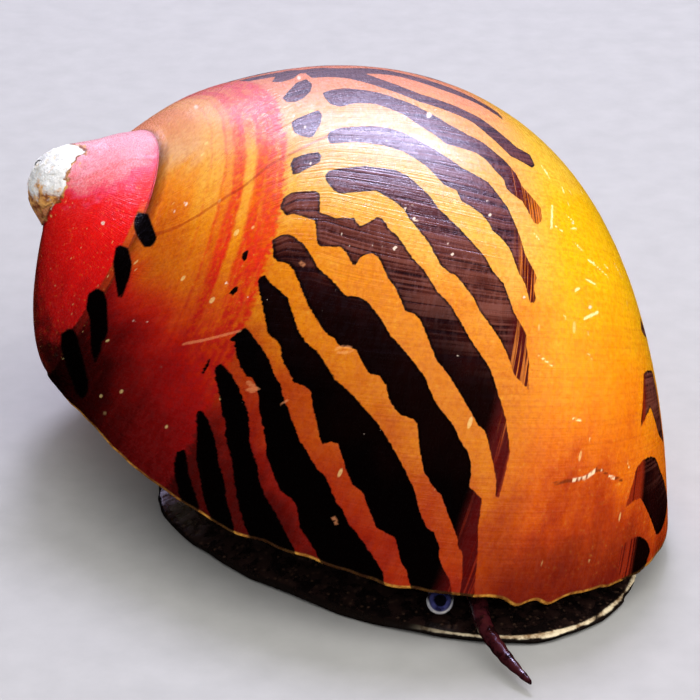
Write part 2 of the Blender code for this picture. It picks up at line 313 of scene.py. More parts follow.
class Value:
    """A node's output, which makes further nodes."""

    def __init__(self, nodes, socket):
        self.nodes = nodes
        self.socket = socket

    def reckon(self, operation, a, b):
        return self.nodes.add("Math", {0: a, 1: b}, operation=operation)

    def __add__(self, other):
        return self.reckon("ADD", self, other)

    def __sub__(self, other):
        return self.reckon("SUBTRACT", self, other)

    def __rsub__(self, other):
        return self.reckon("SUBTRACT", other, self)

    def __mul__(self, other):
        return self.reckon("MULTIPLY", self, other)

    def __truediv__(self, other):
        return self.reckon("DIVIDE", self, other)

    def __or__(self, other):
        """The greater of the two."""
        return self.reckon("MAXIMUM", self, other)

    def size(self):
        return self.reckon("ABSOLUTE", self, 0.0)

    def range(self, low, high, out_low=0.0, out_high=1.0):
        """Smooth step from low to high."""
        inputs = {0: self, 1: low, 2: high, 3: out_low, 4: out_high}
        return self.nodes.add("MapRange", inputs, interpolation_type="SMOOTHSTEP")

    def split(self):
        outputs = self.nodes.add("SeparateXYZ", {0: self}).socket.node.outputs
        return [Value(self.nodes, socket) for socket in outputs]

    def scaled(self, *scale):
        return self.nodes.add("Mapping", {"Vector": self, "Scale": scale})

    def noise(self, scale=1.0, detail=3.0, rough=0.55):
        inputs = {"Vector": self, "Scale": scale, "Detail": detail, "Roughness": rough}
        return self.nodes.add("TexNoise", inputs, "Fac")

    def cells(self, scale=1.0, output="Distance"):
        return self.nodes.add("TexVoronoi", {"Vector": self, "Scale": scale}, output)

    def ramp(self, *stops):
        """Colours along this value, from stops of place, red, green and blue, or of place and grey."""
        low, high = stops[0][0], stops[-1][0]
        output = self.nodes.add("ValToRGB", {0: (self - low) / (high - low)})
        elements = output.socket.node.color_ramp.elements
        while len(elements) < len(stops):
            elements.new(0.5)
        for element, (place, *colour) in zip(elements, stops):
            element.position = (place - low) / (high - low)
            element.color = (*(hue(colour) if len(colour) == 3 else colour * 3), 1)
        return output

    def blend(self, low, high, a, b):
        """Colour a where this is low, and colour b where it is high."""
        return mix(self.range(low, high), a, b)


def mix(share, a, b, blend="MIX"):
    """Colour a with a share of colour b."""
    nodes = next(value.nodes for value in (share, a, b) if isinstance(value, Value))
    return nodes.add("Mix", {0: share, 6: a, 7: b}, 2, data_type="RGBA", blend_type=blend)


# Pattern: outlines of the dark markings, measured in pixels of the photograph

STRIPES = {
    "ridge": [
        (306, 74), (309, 69), (320, 68), (345, 69), (362, 73), (380, 79), (400, 86), (420, 94), (460, 108),
        (480, 118), (500, 133), (516, 147), (530, 155), (535, 166), (532, 168), (520, 161), (510, 156),
        (500, 146), (472, 122), (460, 116), (420, 102), (400, 94), (380, 87), (360, 81), (345, 78),
        (325, 77), (312, 78)],
    "spot_ridge": [(272, 82), (276, 75), (286, 71), (296, 70), (300, 73), (294, 78), (282, 82)],
    "first": [
        (322, 93), (330, 90), (344, 88), (364, 90), (380, 93), (396, 98), (412, 104), (430, 113),
        (448, 124), (468, 135), (482, 142), (506, 162), (516, 174), (522, 186), (541, 208), (542, 220),
        (538, 225), (534, 223), (522, 201), (512, 194), (506, 188), (504, 180), (496, 172), (486, 160),
        (476, 153), (446, 144), (436, 136), (420, 126), (404, 115), (390, 109), (376, 104), (356, 103),
        (340, 107), (330, 104), (325, 98)],
    "second": [
        (329, 132), (340, 128), (372, 126), (388, 128), (404, 133), (448, 158), (462, 168), (488, 182),
        (508, 208), (520, 236), (525, 254), (537, 277), (534, 288), (536, 300), (533, 305), (530, 302),
        (524, 282), (519, 274), (510, 250), (502, 239), (492, 230), (488, 222), (482, 215), (470, 206),
        (462, 202), (456, 190), (444, 185), (426, 166), (404, 152), (385, 146), (356, 142), (330, 144),
        (327, 138)],
    "third": [
        (325, 175), (330, 170), (364, 166), (396, 170), (408, 176), (430, 196), (438, 208), (486, 258),
        (492, 270), (504, 284), (514, 312), (527, 336), (526, 344), (529, 360), (528, 380), (531, 394),
        (514, 375), (506, 352), (500, 340), (480, 312), (472, 296), (456, 276), (448, 272), (440, 265),
        (428, 242), (410, 220), (404, 210), (398, 204), (376, 191), (340, 194), (334, 191), (325, 180)],
    "fourth": [
        (280, 206), (284, 197), (292, 192), (316, 191), (320, 194), (320, 212), (336, 218), (354, 218),
        (360, 226), (368, 223), (376, 217), (382, 218), (390, 230), (398, 236), (412, 257), (424, 270),
        (438, 292), (450, 304), (472, 342), (490, 368), (506, 420), (510, 452), (499, 498), (495, 498),
        (496, 480), (487, 438), (484, 430), (478, 426), (446, 372), (436, 360), (420, 320), (414, 314),
        (405, 311), (395, 288), (388, 278), (378, 257), (370, 253), (360, 258), (354, 268), (346, 252),
        (340, 247), (320, 247), (317, 242), (315, 221), (294, 214), (286, 216), (280, 209)],
    "fifth": [
        (272, 240), (280, 235), (289, 234), (296, 238), (304, 244), (320, 270), (330, 278), (346, 296),
        (356, 296), (366, 300), (382, 320), (390, 334), (426, 378), (430, 390), (438, 406), (454, 426),
        (460, 440), (468, 452), (471, 462), (471, 476), (469, 486), (482, 499), (478, 528), (478, 552),
        (472, 610), (458, 610), (462, 574), (462, 551), (458, 548), (457, 538), (440, 494), (432, 486),
        (424, 472), (419, 448), (417, 424), (414, 420), (400, 415), (394, 408), (389, 400), (386, 386),
        (380, 376), (370, 374), (364, 366), (356, 350), (348, 347), (340, 347), (334, 339), (324, 332),
        (308, 306), (292, 268), (286, 263), (278, 262), (273, 258)],
    "sixth": [
        (258, 282), (260, 276), (265, 275), (270, 282), (288, 298), (298, 330), (306, 342), (318, 352),
        (336, 380), (346, 388), (380, 426), (390, 442), (414, 488), (420, 512), (427, 528), (434, 532),
        (440, 548), (439, 556), (442, 566), (450, 580), (454, 606), (430, 610), (412, 594), (406, 570),
        (400, 560), (395, 538), (376, 528), (362, 492), (352, 484), (346, 470), (338, 444), (330, 442),
        (323, 445), (319, 436), (312, 404), (311, 392), (304, 386), (294, 383), (282, 360), (280, 346),
        (278, 342), (272, 338), (267, 332), (258, 288)],
    "seventh": [
        (240, 330), (246, 327), (269, 358), (276, 378), (281, 383), (283, 396), (300, 440), (318, 470),
        (326, 476), (336, 502), (341, 506), (348, 522), (376, 560), (383, 572), (386, 596), (340, 590),
        (320, 562), (316, 552), (300, 528), (296, 504), (280, 490), (274, 478), (266, 454), (266, 442),
        (260, 414), (257, 388), (252, 378), (246, 376), (240, 366), (236, 356), (234, 342), (230, 340)],
    "eighth": [
        (215, 368), (220, 362), (238, 384), (249, 414), (250, 442), (258, 466), (260, 482), (266, 496),
        (298, 556), (302, 585), (262, 570), (244, 524), (236, 496), (232, 462), (225, 436), (226, 424),
        (222, 414), (215, 378)],
    "ninth": [
        (196, 416), (198, 411), (204, 411), (214, 434), (220, 466), (225, 482), (227, 500), (232, 516),
        (238, 550), (218, 540), (204, 500), (196, 460)],
    "tenth": [
        (174, 466), (176, 454), (182, 448), (186, 450), (189, 474), (200, 508), (194, 520), (182, 505),
        (175, 478)],
    "spot_top": [(282, 98), (296, 83), (306, 79), (312, 84), (311, 91), (304, 98), (296, 102), (287, 102)],
    "spot_middle": [
        (291, 123), (296, 119), (318, 110), (322, 114), (321, 124), (312, 138), (303, 137), (294, 133)],
    "spot_low": [
        (290, 164), (294, 158), (306, 154), (318, 152), (322, 156), (320, 162), (300, 173), (293, 175)],
    "fleck_high": [(241, 256), (245, 250), (249, 251), (247, 259), (243, 262)],
    "fleck_middle": [(229, 294), (233, 288), (238, 286), (238, 291), (233, 297)],
    "fleck_low": [(200, 374), (208, 358), (211, 359), (208, 368), (204, 374)],
    "edge_high": [(640, 318), (644, 320), (650, 336), (645, 338), (641, 330)],
    "edge_middle": [
        (643, 374), (647, 370), (652, 371), (660, 410), (664, 444), (658, 434), (650, 407), (640, 428)],
    "edge_low": [
        (650, 456), (642, 460), (636, 468), (625, 508), (632, 502), (640, 498), (656, 536), (662, 528),
        (666, 512), (667, 500), (659, 468), (655, 458)],
    "edge_lip": [
        (638, 536), (628, 540), (620, 548), (616, 558), (620, 580), (640, 580), (650, 550), (646, 540)]}
DASHES = {
    "upper": [(138, 212), (148, 214), (157, 238), (152, 247), (144, 247), (138, 238), (134, 228), (134, 220)],
    "middle": [
        (116, 247), (120, 245), (128, 248), (132, 264), (130, 276), (122, 298), (118, 297), (114, 272),
        (113, 262)],
    "lower": [
        (88, 294), (97, 288), (104, 292), (107, 302), (108, 330), (106, 338), (102, 342), (101, 350),
        (95, 364), (91, 350), (90, 320), (86, 308)],
    "lowest": [
        (61, 334), (68, 329), (73, 329), (77, 336), (88, 380), (88, 392), (82, 400), (76, 392), (65, 362),
        (61, 348)]}
GROWTH_SCAR = [
    (553, 484), (566, 481), (575, 480), (585, 478), (592, 473), (597, 469), (604, 472), (610, 477),
    (622, 480)]
GROWTH_MARK = [(148, 236), (165, 232), (180, 226), (200, 215), (245, 186), (270, 165), (330, 135)]
SCRATCHES = [
    [(184, 344), (205, 340), (240, 331)], [(248, 382), (258, 390)], [(247, 389), (254, 392)],
    [(336, 349), (344, 346), (351, 348)], [(338, 352), (346, 353), (352, 351)], [(333, 517), (337, 524)],
    [(300, 262), (304, 266)], [(282, 404), (288, 400)], [(541, 165), (549, 178)], [(543, 168), (548, 174)],
    [(552, 205), (551, 229)], [(576, 244), (580, 247), (583, 251)], [(577, 246), (582, 251)],
    [(588, 260), (608, 277)], [(590, 261), (594, 263)], [(604, 265), (608, 268)], [(614, 263), (623, 280)],
    [(586, 280), (592, 282), (597, 286)], [(584, 319), (598, 312)], [(575, 291), (579, 288)],
    [(534, 233), (539, 239)], [(562, 187), (564, 193)], [(569, 190), (571, 195)], [(555, 226), (562, 231)],
    [(564, 315), (566, 319)], [(566, 215), (574, 222)], [(570, 228), (577, 229)], [(587, 331), (589, 336)],
    [(539, 356), (552, 366)], [(588, 354), (592, 359)], [(590, 439), (590, 443)], [(627, 461), (629, 469)],
    [(573, 419), (581, 420)]]
# Each chip's place and radius
CHIPS = [
    (196, 107, 2.6), (103, 223, 2.4), (134, 321, 2.0), (147, 321, 1.6), (227, 283, 2.4), (248, 298, 1.6),
    (162, 367, 1.5), (174, 211, 2.2), (186, 204, 2.6), (200, 352, 1.6), (429, 115, 3.2), (404, 160, 1.4),
    (413, 205, 2.0), (405, 209, 2.4), (414, 219, 2.6), (418, 221, 2.0), (490, 215, 2.2), (487, 201, 1.6),
    (342, 234, 1.8), (395, 248, 2.8), (383, 247, 1.6), (372, 245, 1.8), (350, 246, 1.6), (445, 234, 1.8),
    (448, 244, 1.8), (452, 254, 2.0), (420, 195, 1.6), (361, 108, 1.6), (363, 434, 1.8), (496, 247, 1.4),
    (474, 217, 1.4), (310, 163, 2.2), (305, 127, 2.0), (299, 78, 2.4), (458, 356, 1.5), (437, 276, 1.5),
    (335, 290, 1.5), (322, 310, 1.4), (267, 300, 1.5), (241, 402, 1.4), (288, 430, 1.3), (380, 430, 1.4),
    (590, 307, 2.4), (524, 297, 2.0), (573, 223, 1.8), (549, 301, 1.3), (532, 405, 1.7), (552, 217, 1.6)]

# The far side's markings, in section angles and growth angles
STRIPES_FROM = 1.555
STRIPES_TO = 0.73
STRIPE_WIDTHS = (0.045, 0.075)
STRIPE_BENDS = (0.38, 0.55)
STRIPE_STEPS = (0.17, 0.24)
FAR_STRIPES = (-0.36, -4.4)
PATCHES_FROM = 0.20
PATCH_DEPTHS = (0.18, 0.3)
PATCH_HEIGHTS = (0.12, 0.2)
PATCH_WIDTHS = (0.05, 0.09)
PATCH_STEPS = (0.16, 0.27)
FAR_PATCHES = (0.36, -3.2)
DASH_STEPS = (0.26, 0.36)
DASH_HALF_SIZE = (0.11, 0.075)
FAR_DASHES = (-3.75, -8.6)
SHOWN_DASHES = (-6.9, -3.6)
FAR_SECTION_MM = 7

# The unrolled whorl, and values for no marking
PAPER_ROWS = 300
PAPER_COLUMNS = 130
SHELL_MIDDLE = np.array([350.0, 330.0])
NO_INK = -1.0
NO_LINE = 9.0
EDGE_MARGIN = 0.6
SHOWN_GROWTH = 1.22
SHOWN_SECTION_MM = 8.3


def pixel_ray(pixel):
    across, up = (pixel[0] - PHOTO_MIDDLE) / PIXELS_PER_MM, (PHOTO_MIDDLE - pixel[1]) / PIXELS_PER_MM
    way = AIM + np.array([across, 0, 0]) + up * CAMERA_UP - CAMERA_POINT
    return Vector((way / np.linalg.norm(way)).tolist())


def to_pixels(points):
    """Where points show in the photograph's frame."""
    offset = points - AIM
    scale = PIXELS_PER_MM * CAMERA_DISTANCE / (CAMERA_DISTANCE - offset @ CAMERA_BACK)
    across, up = scale * offset[..., 0], scale * (offset @ CAMERA_UP)
    return np.stack([PHOTO_MIDDLE + across, PHOTO_MIDDLE - up], axis=-1)


def unroll(growth, angle):
    """Millimetres along and across the whorl, near enough for distances on the visible side."""
    along = np.maximum(section_point(angle)[0], 0.5) * SHOWN_GROWTH
    return np.stack([growth * along, angle * SHOWN_SECTION_MM], axis=-1)


class PatternPaper:
    """Lays pixels of the photograph on the unrolled last whorl."""

    def __init__(self):
        self.growth = np.linspace(-2.4, 3.3, PAPER_ROWS)
        self.angle = np.linspace(-0.9, SUTURE, PAPER_COLUMNS)
        growth, angle = np.meshgrid(self.growth, self.angle, indexing="ij")
        self.points = settle_spire(coil_point(growth, angle))
        faces = grid_faces(PAPER_ROWS, PAPER_COLUMNS)
        self.tree = BVHTree.FromPolygons(self.points.reshape(-1, 3).tolist(), faces.tolist())

    def find(self, pixel):
        """Growth and section angle that a pixel shows, or the first pixel inwards that is on the shell."""
        pixel = np.array(pixel, dtype=float)
        inward = SHELL_MIDDLE - pixel
        inward /= np.linalg.norm(inward)
        place = None
        while place is None:
            place, _, face, _ = self.tree.ray_cast(Vector(CAMERA_POINT.tolist()), pixel_ray(pixel))
            pixel += inward
        row, column = divmod(face, PAPER_COLUMNS - 1)
        corner = self.points[row, column]
        sides = np.array([self.points[row + 1, column], self.points[row, column + 1]]) - corner
        share = np.linalg.lstsq(sides.T, np.array(place) - corner, rcond=None)[0]
        return (self.growth[row] + share[0] * (self.growth[1] - self.growth[0]),
                self.angle[column] + share[1] * (self.angle[1] - self.angle[0]))

    def trace(self, pixels):
        return unroll(*np.array([self.find(pixel) for pixel in pixels]).T)


def square_to_side(points, a, b):
    """Squared distance of some points from the straight side from a to b."""
    side = b - a
    share = np.clip(((points - a) @ side) / max(side @ side, 1e-12), 0, 1)
    return np.sum((points - a - share[:, None] * side) ** 2, axis=1)


def distance_to_route(points, route):
    return np.sqrt(np.minimum.reduce([square_to_side(points, a, b) for a, b in zip(route, route[1:])]))


def signed_distance(points, outline):
    """Distance to a closed outline, positive inside."""
    result = np.full(len(points), NO_INK)
    near = np.all((points > outline.min(0) - EDGE_MARGIN) & (points < outline.max(0) + EDGE_MARGIN), axis=1)
    some = points[near]
    if not len(some):
        return result
    inside = np.zeros(len(some), dtype=bool)
    for a, b in zip(outline, np.roll(outline, -1, axis=0)):
        if a[1] != b[1]:
            crosses = (a[1] > some[:, 1]) != (b[1] > some[:, 1])
            inside ^= crosses & (some[:, 0] < a[0] + (some[:, 1] - a[1]) * (b - a)[0] / (b - a)[1])
    far = distance_to_route(some, np.concatenate([outline, outline[:1]]))
    result[near] = np.where(inside, far, -far)
    return result


def random_steps(span, pitches):
    """Growth angles from one end of a span to the other, a random pitch apart."""
    place, last = span
    while place > last:
        yield place
        place -= RANDOM.uniform(*pitches)


def far_stripes(growth, angle):
    """Stripes and patches of the same kind on the sides that the photograph doesn't show."""
    ink = np.full(growth.shape, NO_INK)
    size = np.exp(GROWTH_OUT * growth)
    along = np.maximum(section_point(angle)[0], 0.5) * size
    start = STRIPES_FROM - 0.75 * smooth(-2.0, -3.7, growth)
    for place in random_steps(FAR_STRIPES, STRIPE_STEPS):
        width = RANDOM.uniform(*STRIPE_WIDTHS)
        bend = RANDOM.uniform(*STRIPE_BENDS)
        phase = RANDOM.uniform(0, TURN, 3)
        wobble = 0.025 * np.sin(angle * 9 + phase[0]) + 0.014 * np.sin(angle * 21 + phase[1])
        middle = place + bend * (STRIPES_FROM - angle) + wobble
        end = STRIPES_TO + 0.05 * math.sin(phase[2])
        ends = np.minimum(angle - end, start - angle) * FAR_SECTION_MM * size
        taper = 0.55 + 0.45 * smooth(STRIPES_TO - 0.05, STRIPES_TO + 0.35, angle)
        band = (width * taper - np.abs(growth - middle)) * along
        gap = 1.0
        if RANDOM.uniform() < 0.5:
            gap = np.abs(angle - (STRIPES_FROM - RANDOM.uniform(0.12, 0.2))) * FAR_SECTION_MM - 0.13
        ink = np.maximum(ink, np.minimum(np.minimum(band, ends), gap))
    for place in random_steps(FAR_PATCHES, PATCH_STEPS):
        centre = PATCHES_FROM - RANDOM.uniform(*PATCH_DEPTHS)
        across = (angle - centre) / RANDOM.uniform(*PATCH_HEIGHTS)
        down = (growth - place + 0.25 * (angle - centre)) / RANDOM.uniform(*PATCH_WIDTHS)
        shape = 1 - np.hypot(across, down) - 0.15 * np.sin(angle * 30 + growth * 40)
        ink = np.maximum(ink, shape * 0.5)
    return ink


def far_dashes(growth, angle):
    """Short dark dashes along the suture, before and behind those that show."""
    ink = np.full(growth.shape, NO_INK)
    high, wide = DASH_HALF_SIZE
    for place in random_steps(FAR_DASHES, DASH_STEPS):
        if not SHOWN_DASHES[0] < place < SHOWN_DASHES[1]:
            dash = 1 - np.hypot((angle - CONTACT - 0.03) / high, (growth - place) / wide)
            ink = np.maximum(ink, dash * 0.3)
    return ink


def paint_masks(shell, points, normal, growth, angle, outer):
    """Keep the pattern on the shell's vertices as distances in millimetres."""
    paper = PatternPaper()
    on_last = (growth > -2.2) & (angle > -0.85)
    local = unroll(growth, angle)[on_last]
    ink = np.full(growth.shape, NO_INK)
    shown_ink = [signed_distance(local, paper.trace(pixels)) for pixels in STRIPES.values()]
    ink[on_last] = np.maximum.reduce(shown_ink)
    ink = np.maximum(ink, far_stripes(growth, angle))
    dash = far_dashes(growth, angle)
    shown = outer & (normal @ CAMERA_BACK > 0)
    by_suture = shown & ((growth > 0.9) & (angle > 1.6) | (growth > -5.8) & (growth < -3.6) & (angle < 1.5))
    places = to_pixels(points[by_suture]) / PIXELS_PER_MM
    for pixels in DASHES.values():
        here = signed_distance(places, np.array(pixels) / PIXELS_PER_MM)
        dash[by_suture] = np.maximum(dash[by_suture], here)
    for name, routes in (("scar", [GROWTH_SCAR]), ("mark", [GROWTH_MARK]), ("scratch", SCRATCHES)):
        line = np.full(growth.shape, NO_LINE)
        line[on_last] = np.minimum.reduce([distance_to_route(local, paper.trace(route)) for route in routes])
        store(shell, **{name: line})
    chipped = shown & (growth > -6.5)
    pixels = to_pixels(points[chipped])
    chip = np.full(growth.shape, NO_INK)
    chip[chipped] = np.maximum.reduce([
        radius - np.hypot(pixels[:, 0] - x, pixels[:, 1] - y) for x, y, radius in CHIPS]) / PIXELS_PER_MM
    store(shell, chip=chip, ink=ink, dash=dash)


# Shell mesh

ROWS_COVERED = 190
ROWS_SHOWN = 150
ROWS = ROWS_COVERED + ROWS_SHOWN
COLUMNS = 640
EARLY_COLUMNS = 620
LAST_WHORL_START = -3.7
EARLIEST = -19.0
SUTURE_TUCK = 0.02
# The fold inside the lip: centimetres back from its edge, and millimetres into the wall
LIP_FOLD = [(0.0, 0.07), (0.012, 0.16), (0.04, 0.24), (0.09, 0.33), (0.16, 0.42), (0.24, 0.5), (0.34, 0.55)]
LAST_COLUMNS = COLUMNS + len(LIP_FOLD)
# Cusps as section angle, reach and width, and waves as height, seed and pitch
LIP_CUSPS = [(0.584, 0.16, 0.03), (0.479, 0.12, 0.03), (1.8, -0.25, 0.11)]
LIP_WAVES = [(0.06, 1, 0.16), (0.03, 2, 0.05)]
RIDGE_WAVES = [(0.0022, 3, 0.02), (0.003, 4, 0.09), (0.009, 5, 0.5)]
CREASE_DEPTH = 0.05
CREASE_WIDTH = 0.12
UNDERSIDE_SOFTNESS = 0.12
NORMAL_STEP = 0.004
FAR_FROM_RIM = 50.0
WORN_HEART = APEX + AXIS * 1.5
WORN_RADIUS = 1.28
WORN_REACH = (0.95, 1.85)
WORN_LIMIT = 2.6
WORN_PITCH = 2.2
PIT_PITCH = 5.0
LIP_TABLE_ANGLES = np.linspace(BASE, SUTURE + 0.05, 400)
LIP_TABLE = lip_growth(LIP_TABLE_ANGLES)
FILLET_EARLY = 0.4
FILLET_LATE = 0.9
FILLET_GROWS = (0.5, 2.0)
SUTURE_END = float(lip_growth(SUTURE))
# Section angle and growth angle along a fine line far from the lip
GROWTH_LINE = [
    (-0.9, 0.75), (0.0, 1.33), (0.26, 1.43), (0.6, 1.52), (0.87, 1.59), (1.07, 1.6), (1.43, 1.62),
    (1.52, 1.66), (1.6, 1.76), (1.71, 1.98), (1.83, 2.21), (1.94, 2.36), (2.1, 2.9)]


def ripple(values, seed, pitch):
    """Smooth random line along some values, about -1 to 1."""
    row = seed * 7.31
    return np.array([noise.noise(Vector((value / pitch, row, 0.4))) * 2 for value in np.ravel(values)])


def ripples(values, table):
    """Sum of random lines from a table of height, seed and pitch."""
    return sum(height * ripple(values, seed, pitch) for height, seed, pitch in table)


AGE_STEPS = np.linspace(-0.6, 24, 6000)
RIDGES = ripples(AGE_STEPS, RIDGE_WAVES)


def shell_grid():
    """Growth, section angle, inset and distance from the rim, on the last whorl and then on those before."""
    angles = np.concatenate([np.linspace(BASE, CONTACT - SUTURE_TUCK, ROWS_COVERED + 1)[:-1],
                             np.linspace(CONTACT - SUTURE_TUCK, SUTURE + SUTURE_TUCK, ROWS_SHOWN)])
    lip = lip_growth(angles)
    wave = ripples(angles, LIP_WAVES)
    for angle, depth, width in LIP_CUSPS:
        wave += depth * bell(angles - angle, width)
    reach = np.maximum(section_point(angles)[0], 1.5) * np.exp(GROWTH_OUT * lip)
    edge = lip + wave * smooth(BASE, BASE + 0.5, angles) / reach
    fold, wall = np.array(LIP_FOLD).T
    outside = LAST_WHORL_START + (edge - LAST_WHORL_START)[:, None] * np.linspace(0, 1, COLUMNS)
    folded = edge[:, None] + 0.004 - fold * (10 / np.maximum(reach, 4))[:, None]
    inset = wall * (smooth(BASE, BASE + 0.25, angles) / np.exp(GROWTH_OUT * edge))[:, None]
    rim = (edge[:, None] - outside) * reach[:, None]
    last = np.array([
        np.hstack([outside, folded]),
        np.repeat(angles[:, None], LAST_COLUMNS, axis=1),
        np.hstack([np.zeros_like(outside), inset]),
        np.hstack([rim, np.broadcast_to(-fold * 10 - 0.01, folded.shape)])])
    before = np.linspace(EARLIEST, LAST_WHORL_START, EARLY_COLUMNS + 1)[:-1]
    early = np.array(np.broadcast_arrays(before, angles[-ROWS_SHOWN:][:, None], 0.0, FAR_FROM_RIM))
    return np.hstack([last.reshape(4, -1), early.reshape(4, -1)])


def fillet_direction():
    """Way out of the suture's corner, as radius and depth, and its slant to the two surfaces."""
    radius, depth = section_point(SUTURE)
    step, ways = 1e-4, []
    for wider, deeper in ((1, 1), (WIDER, DEEPER)):
        here = section_gap(radius * wider, depth * deeper)
        way = np.array([section_gap((radius + step) * wider, depth * deeper) - here,
                        section_gap(radius * wider, (depth + step) * deeper) - here])
        ways.append(way / np.linalg.norm(way))
    middle = ways[0] + ways[1]
    middle /= np.linalg.norm(middle)
    return middle, float(middle @ ways[0])


FILLET_WAY, FILLET_SLANT = fillet_direction()


def suture_fillet(growth, angle):
    """Shift that rounds the corner where a whorl rests on the one before it."""
    radius, depth = section_point(angle)
    above = (growth, section_gap(radius * WIDER, depth * DEEPER) / WIDER, angle > 1.0)
    under = (growth + TURN, section_gap(radius / WIDER, depth / DEEPER),
             (angle < 1.7) * (1 - smooth(SUTURE_END, SUTURE_END + 0.3, growth + TURN)))
    shift = np.zeros(growth.shape + (3,))
    for turn, gap, share in (above, under):
        reach = FILLET_EARLY + (FILLET_LATE - FILLET_EARLY) * smooth(*FILLET_GROWS, turn)
        near = np.clip(reach - np.maximum(gap, 0), 0, None) / reach
        amount = share * reach / 4 * near ** 2 / FILLET_SLANT
        shift += coil_place(turn, amount * FILLET_WAY[0], amount * FILLET_WAY[1])
    return shift


def lip_age(growth, angle):
    """Growth since each place was the lip."""
    return np.interp(angle, LIP_TABLE_ANGLES, LIP_TABLE) - growth


def line_age(growth, angle):
    """The same along the fine lines, which follow the lip near it and GROWTH_LINE further back."""
    age = lip_age(growth, angle)
    line = np.interp(angle, *zip(*GROWTH_LINE))
    return age + (line - growth - age) * smooth(0.3, 1.2, age)


def shell_shape(growth, angle, inset):
    """Points of the dressed shell: the coil with a rounded suture, growth ridges and a flat underside."""
    points = coil_point(growth, angle, inset)
    step = NORMAL_STEP
    along = coil_point(growth + step, angle, inset) - coil_point(growth - step, angle, inset)
    across = coil_point(growth, angle + step, inset) - coil_point(growth, angle - step, inset)
    normal = np.cross(along, across)
    normal /= np.maximum(np.linalg.norm(normal, axis=-1, keepdims=True), 1e-9)
    centre = APEX + AXIS * ((points - APEX) @ AXIS)[..., None]
    normal[np.sum(normal * (points - centre), axis=-1) < 0] *= -1
    crease = -CREASE_DEPTH * bell((SUTURE - angle) * 5.5, CREASE_WIDTH) * (1 - smooth(0.6, 1.6, growth))
    ridges = np.interp(line_age(growth, angle), AGE_STEPS, RIDGES) * smooth(BASE, BASE + 0.4, angle)
    points = points + normal * ((crease + ridges) * np.exp(GROWTH_OUT * growth))[..., None]
    before = above_lip(points)
    points = points + suture_fillet(growth, angle) * (inset == 0)[..., None]
    below = np.maximum(np.minimum(before, 0) - above_lip(points), 0)
    points = settle_spire(points + LIP_NORMAL * below[..., None])
    height = above_lip(points)
    soft = UNDERSIDE_SOFTNESS * np.logaddexp(0, height / UNDERSIDE_SOFTNESS)
    early = 1 - smooth(-1.6, -1.0, growth)
    return points + LIP_NORMAL * ((soft - height) * early)[..., None], normal


def worn_roughness(points):
    return np.array([noise.fractal(Vector((point * WORN_PITCH).tolist()), 1.0, 2.0, 4) for point in points])


def wear_apex(points):
    """Round off the eroded apex, with pits; gives the points and how worn each is."""
    far = np.linalg.norm(points - APEX, axis=1)
    near = far < WORN_LIMIT
    some = points[near]
    rough = worn_roughness(some)
    pits = np.array([noise.cell(Vector((point * PIT_PITCH).tolist())) for point in some])
    share = np.zeros(len(points))
    share[near] = 1 - smooth(*WORN_REACH, far[near] + 0.35 * rough)
    away = some - WORN_HEART
    away /= np.linalg.norm(away, axis=1, keepdims=True)
    dome = WORN_HEART + away * (WORN_RADIUS + 0.05 * rough - 0.02 * pits)[:, None]
    result = points.copy()
    result[near] += (dome - some) * (0.85 * share[near])[:, None]
    return result, share


def lay_flat(mesh):
    """Map for a baked texture: the last whorl below, the whorls before it above."""
    row, column = np.divmod(np.arange(ROWS * LAST_COLUMNS), LAST_COLUMNS)
    early_row, early_column = np.divmod(np.arange(ROWS_SHOWN * EARLY_COLUMNS), EARLY_COLUMNS)
    across = 0.005 + np.hstack([0.99 * column / (LAST_COLUMNS - 1), 0.98 * early_column / EARLY_COLUMNS])
    up = np.hstack([0.005 + 0.69 * row / (ROWS - 1), 0.71 + 0.28 * early_row / (ROWS_SHOWN - 1)])
    corners = np.empty(len(mesh.loops), dtype=np.int32)
    mesh.loops.foreach_get("vertex_index", corners)
    flat = np.stack([across[corners], up[corners]], axis=1)
    stitched = np.arange(len(corners) - 4 * (ROWS_SHOWN - 1), len(corners))
    stitched = stitched[corners[stitched] < ROWS * LAST_COLUMNS]
    flat[stitched, 0] = 0.99
    flat[stitched, 1] = 0.71 + 0.28 * (row[corners[stitched]] - ROWS_COVERED) / (ROWS_SHOWN - 1)
    mesh.uv_layers.new(name="OFBake").data.foreach_set("uv", flat.astype(np.float32).ravel())


def build_shell():
    growth, angle, inset, rim = shell_grid()
    points, normal = shell_shape(growth, angle, inset)
    points, worn = wear_apex(points)
    last_early = ROWS * LAST_COLUMNS + np.arange(ROWS_SHOWN) * EARLY_COLUMNS + EARLY_COLUMNS - 1
    first_late = (np.arange(ROWS_SHOWN) + ROWS_COVERED) * LAST_COLUMNS
    faces = np.concatenate([
        grid_faces(ROWS, LAST_COLUMNS), grid_faces(ROWS_SHOWN, EARLY_COLUMNS, ROWS * LAST_COLUMNS),
        np.stack([last_early[:-1], first_late[:-1], first_late[1:], last_early[1:]], axis=-1)])
    shell = mesh_piece("shell", points, faces, ("shell_body_whorl", "shell_spire", "shell_apex"))
    coil = np.stack([lip_age(growth, angle), angle, growth], axis=1)
    lines = np.stack([line_age(growth, angle), angle, growth], axis=1)
    store(shell, coil=coil, lines=lines, rim=rim, worn=worn)
    lay_flat(shell.data)
    paint_masks(shell, points, normal, growth, angle, inset == 0)
    return shell


shell = build_shell()


# Body: the same named values as the part's source

HEADING = math.radians(-35.0)
AHEAD = np.array([math.cos(HEADING), math.sin(HEADING), 0.0])
RIGHT = np.array([math.sin(HEADING), -math.cos(HEADING), 0.0])
PLAN_SQUARENESS = 2.4
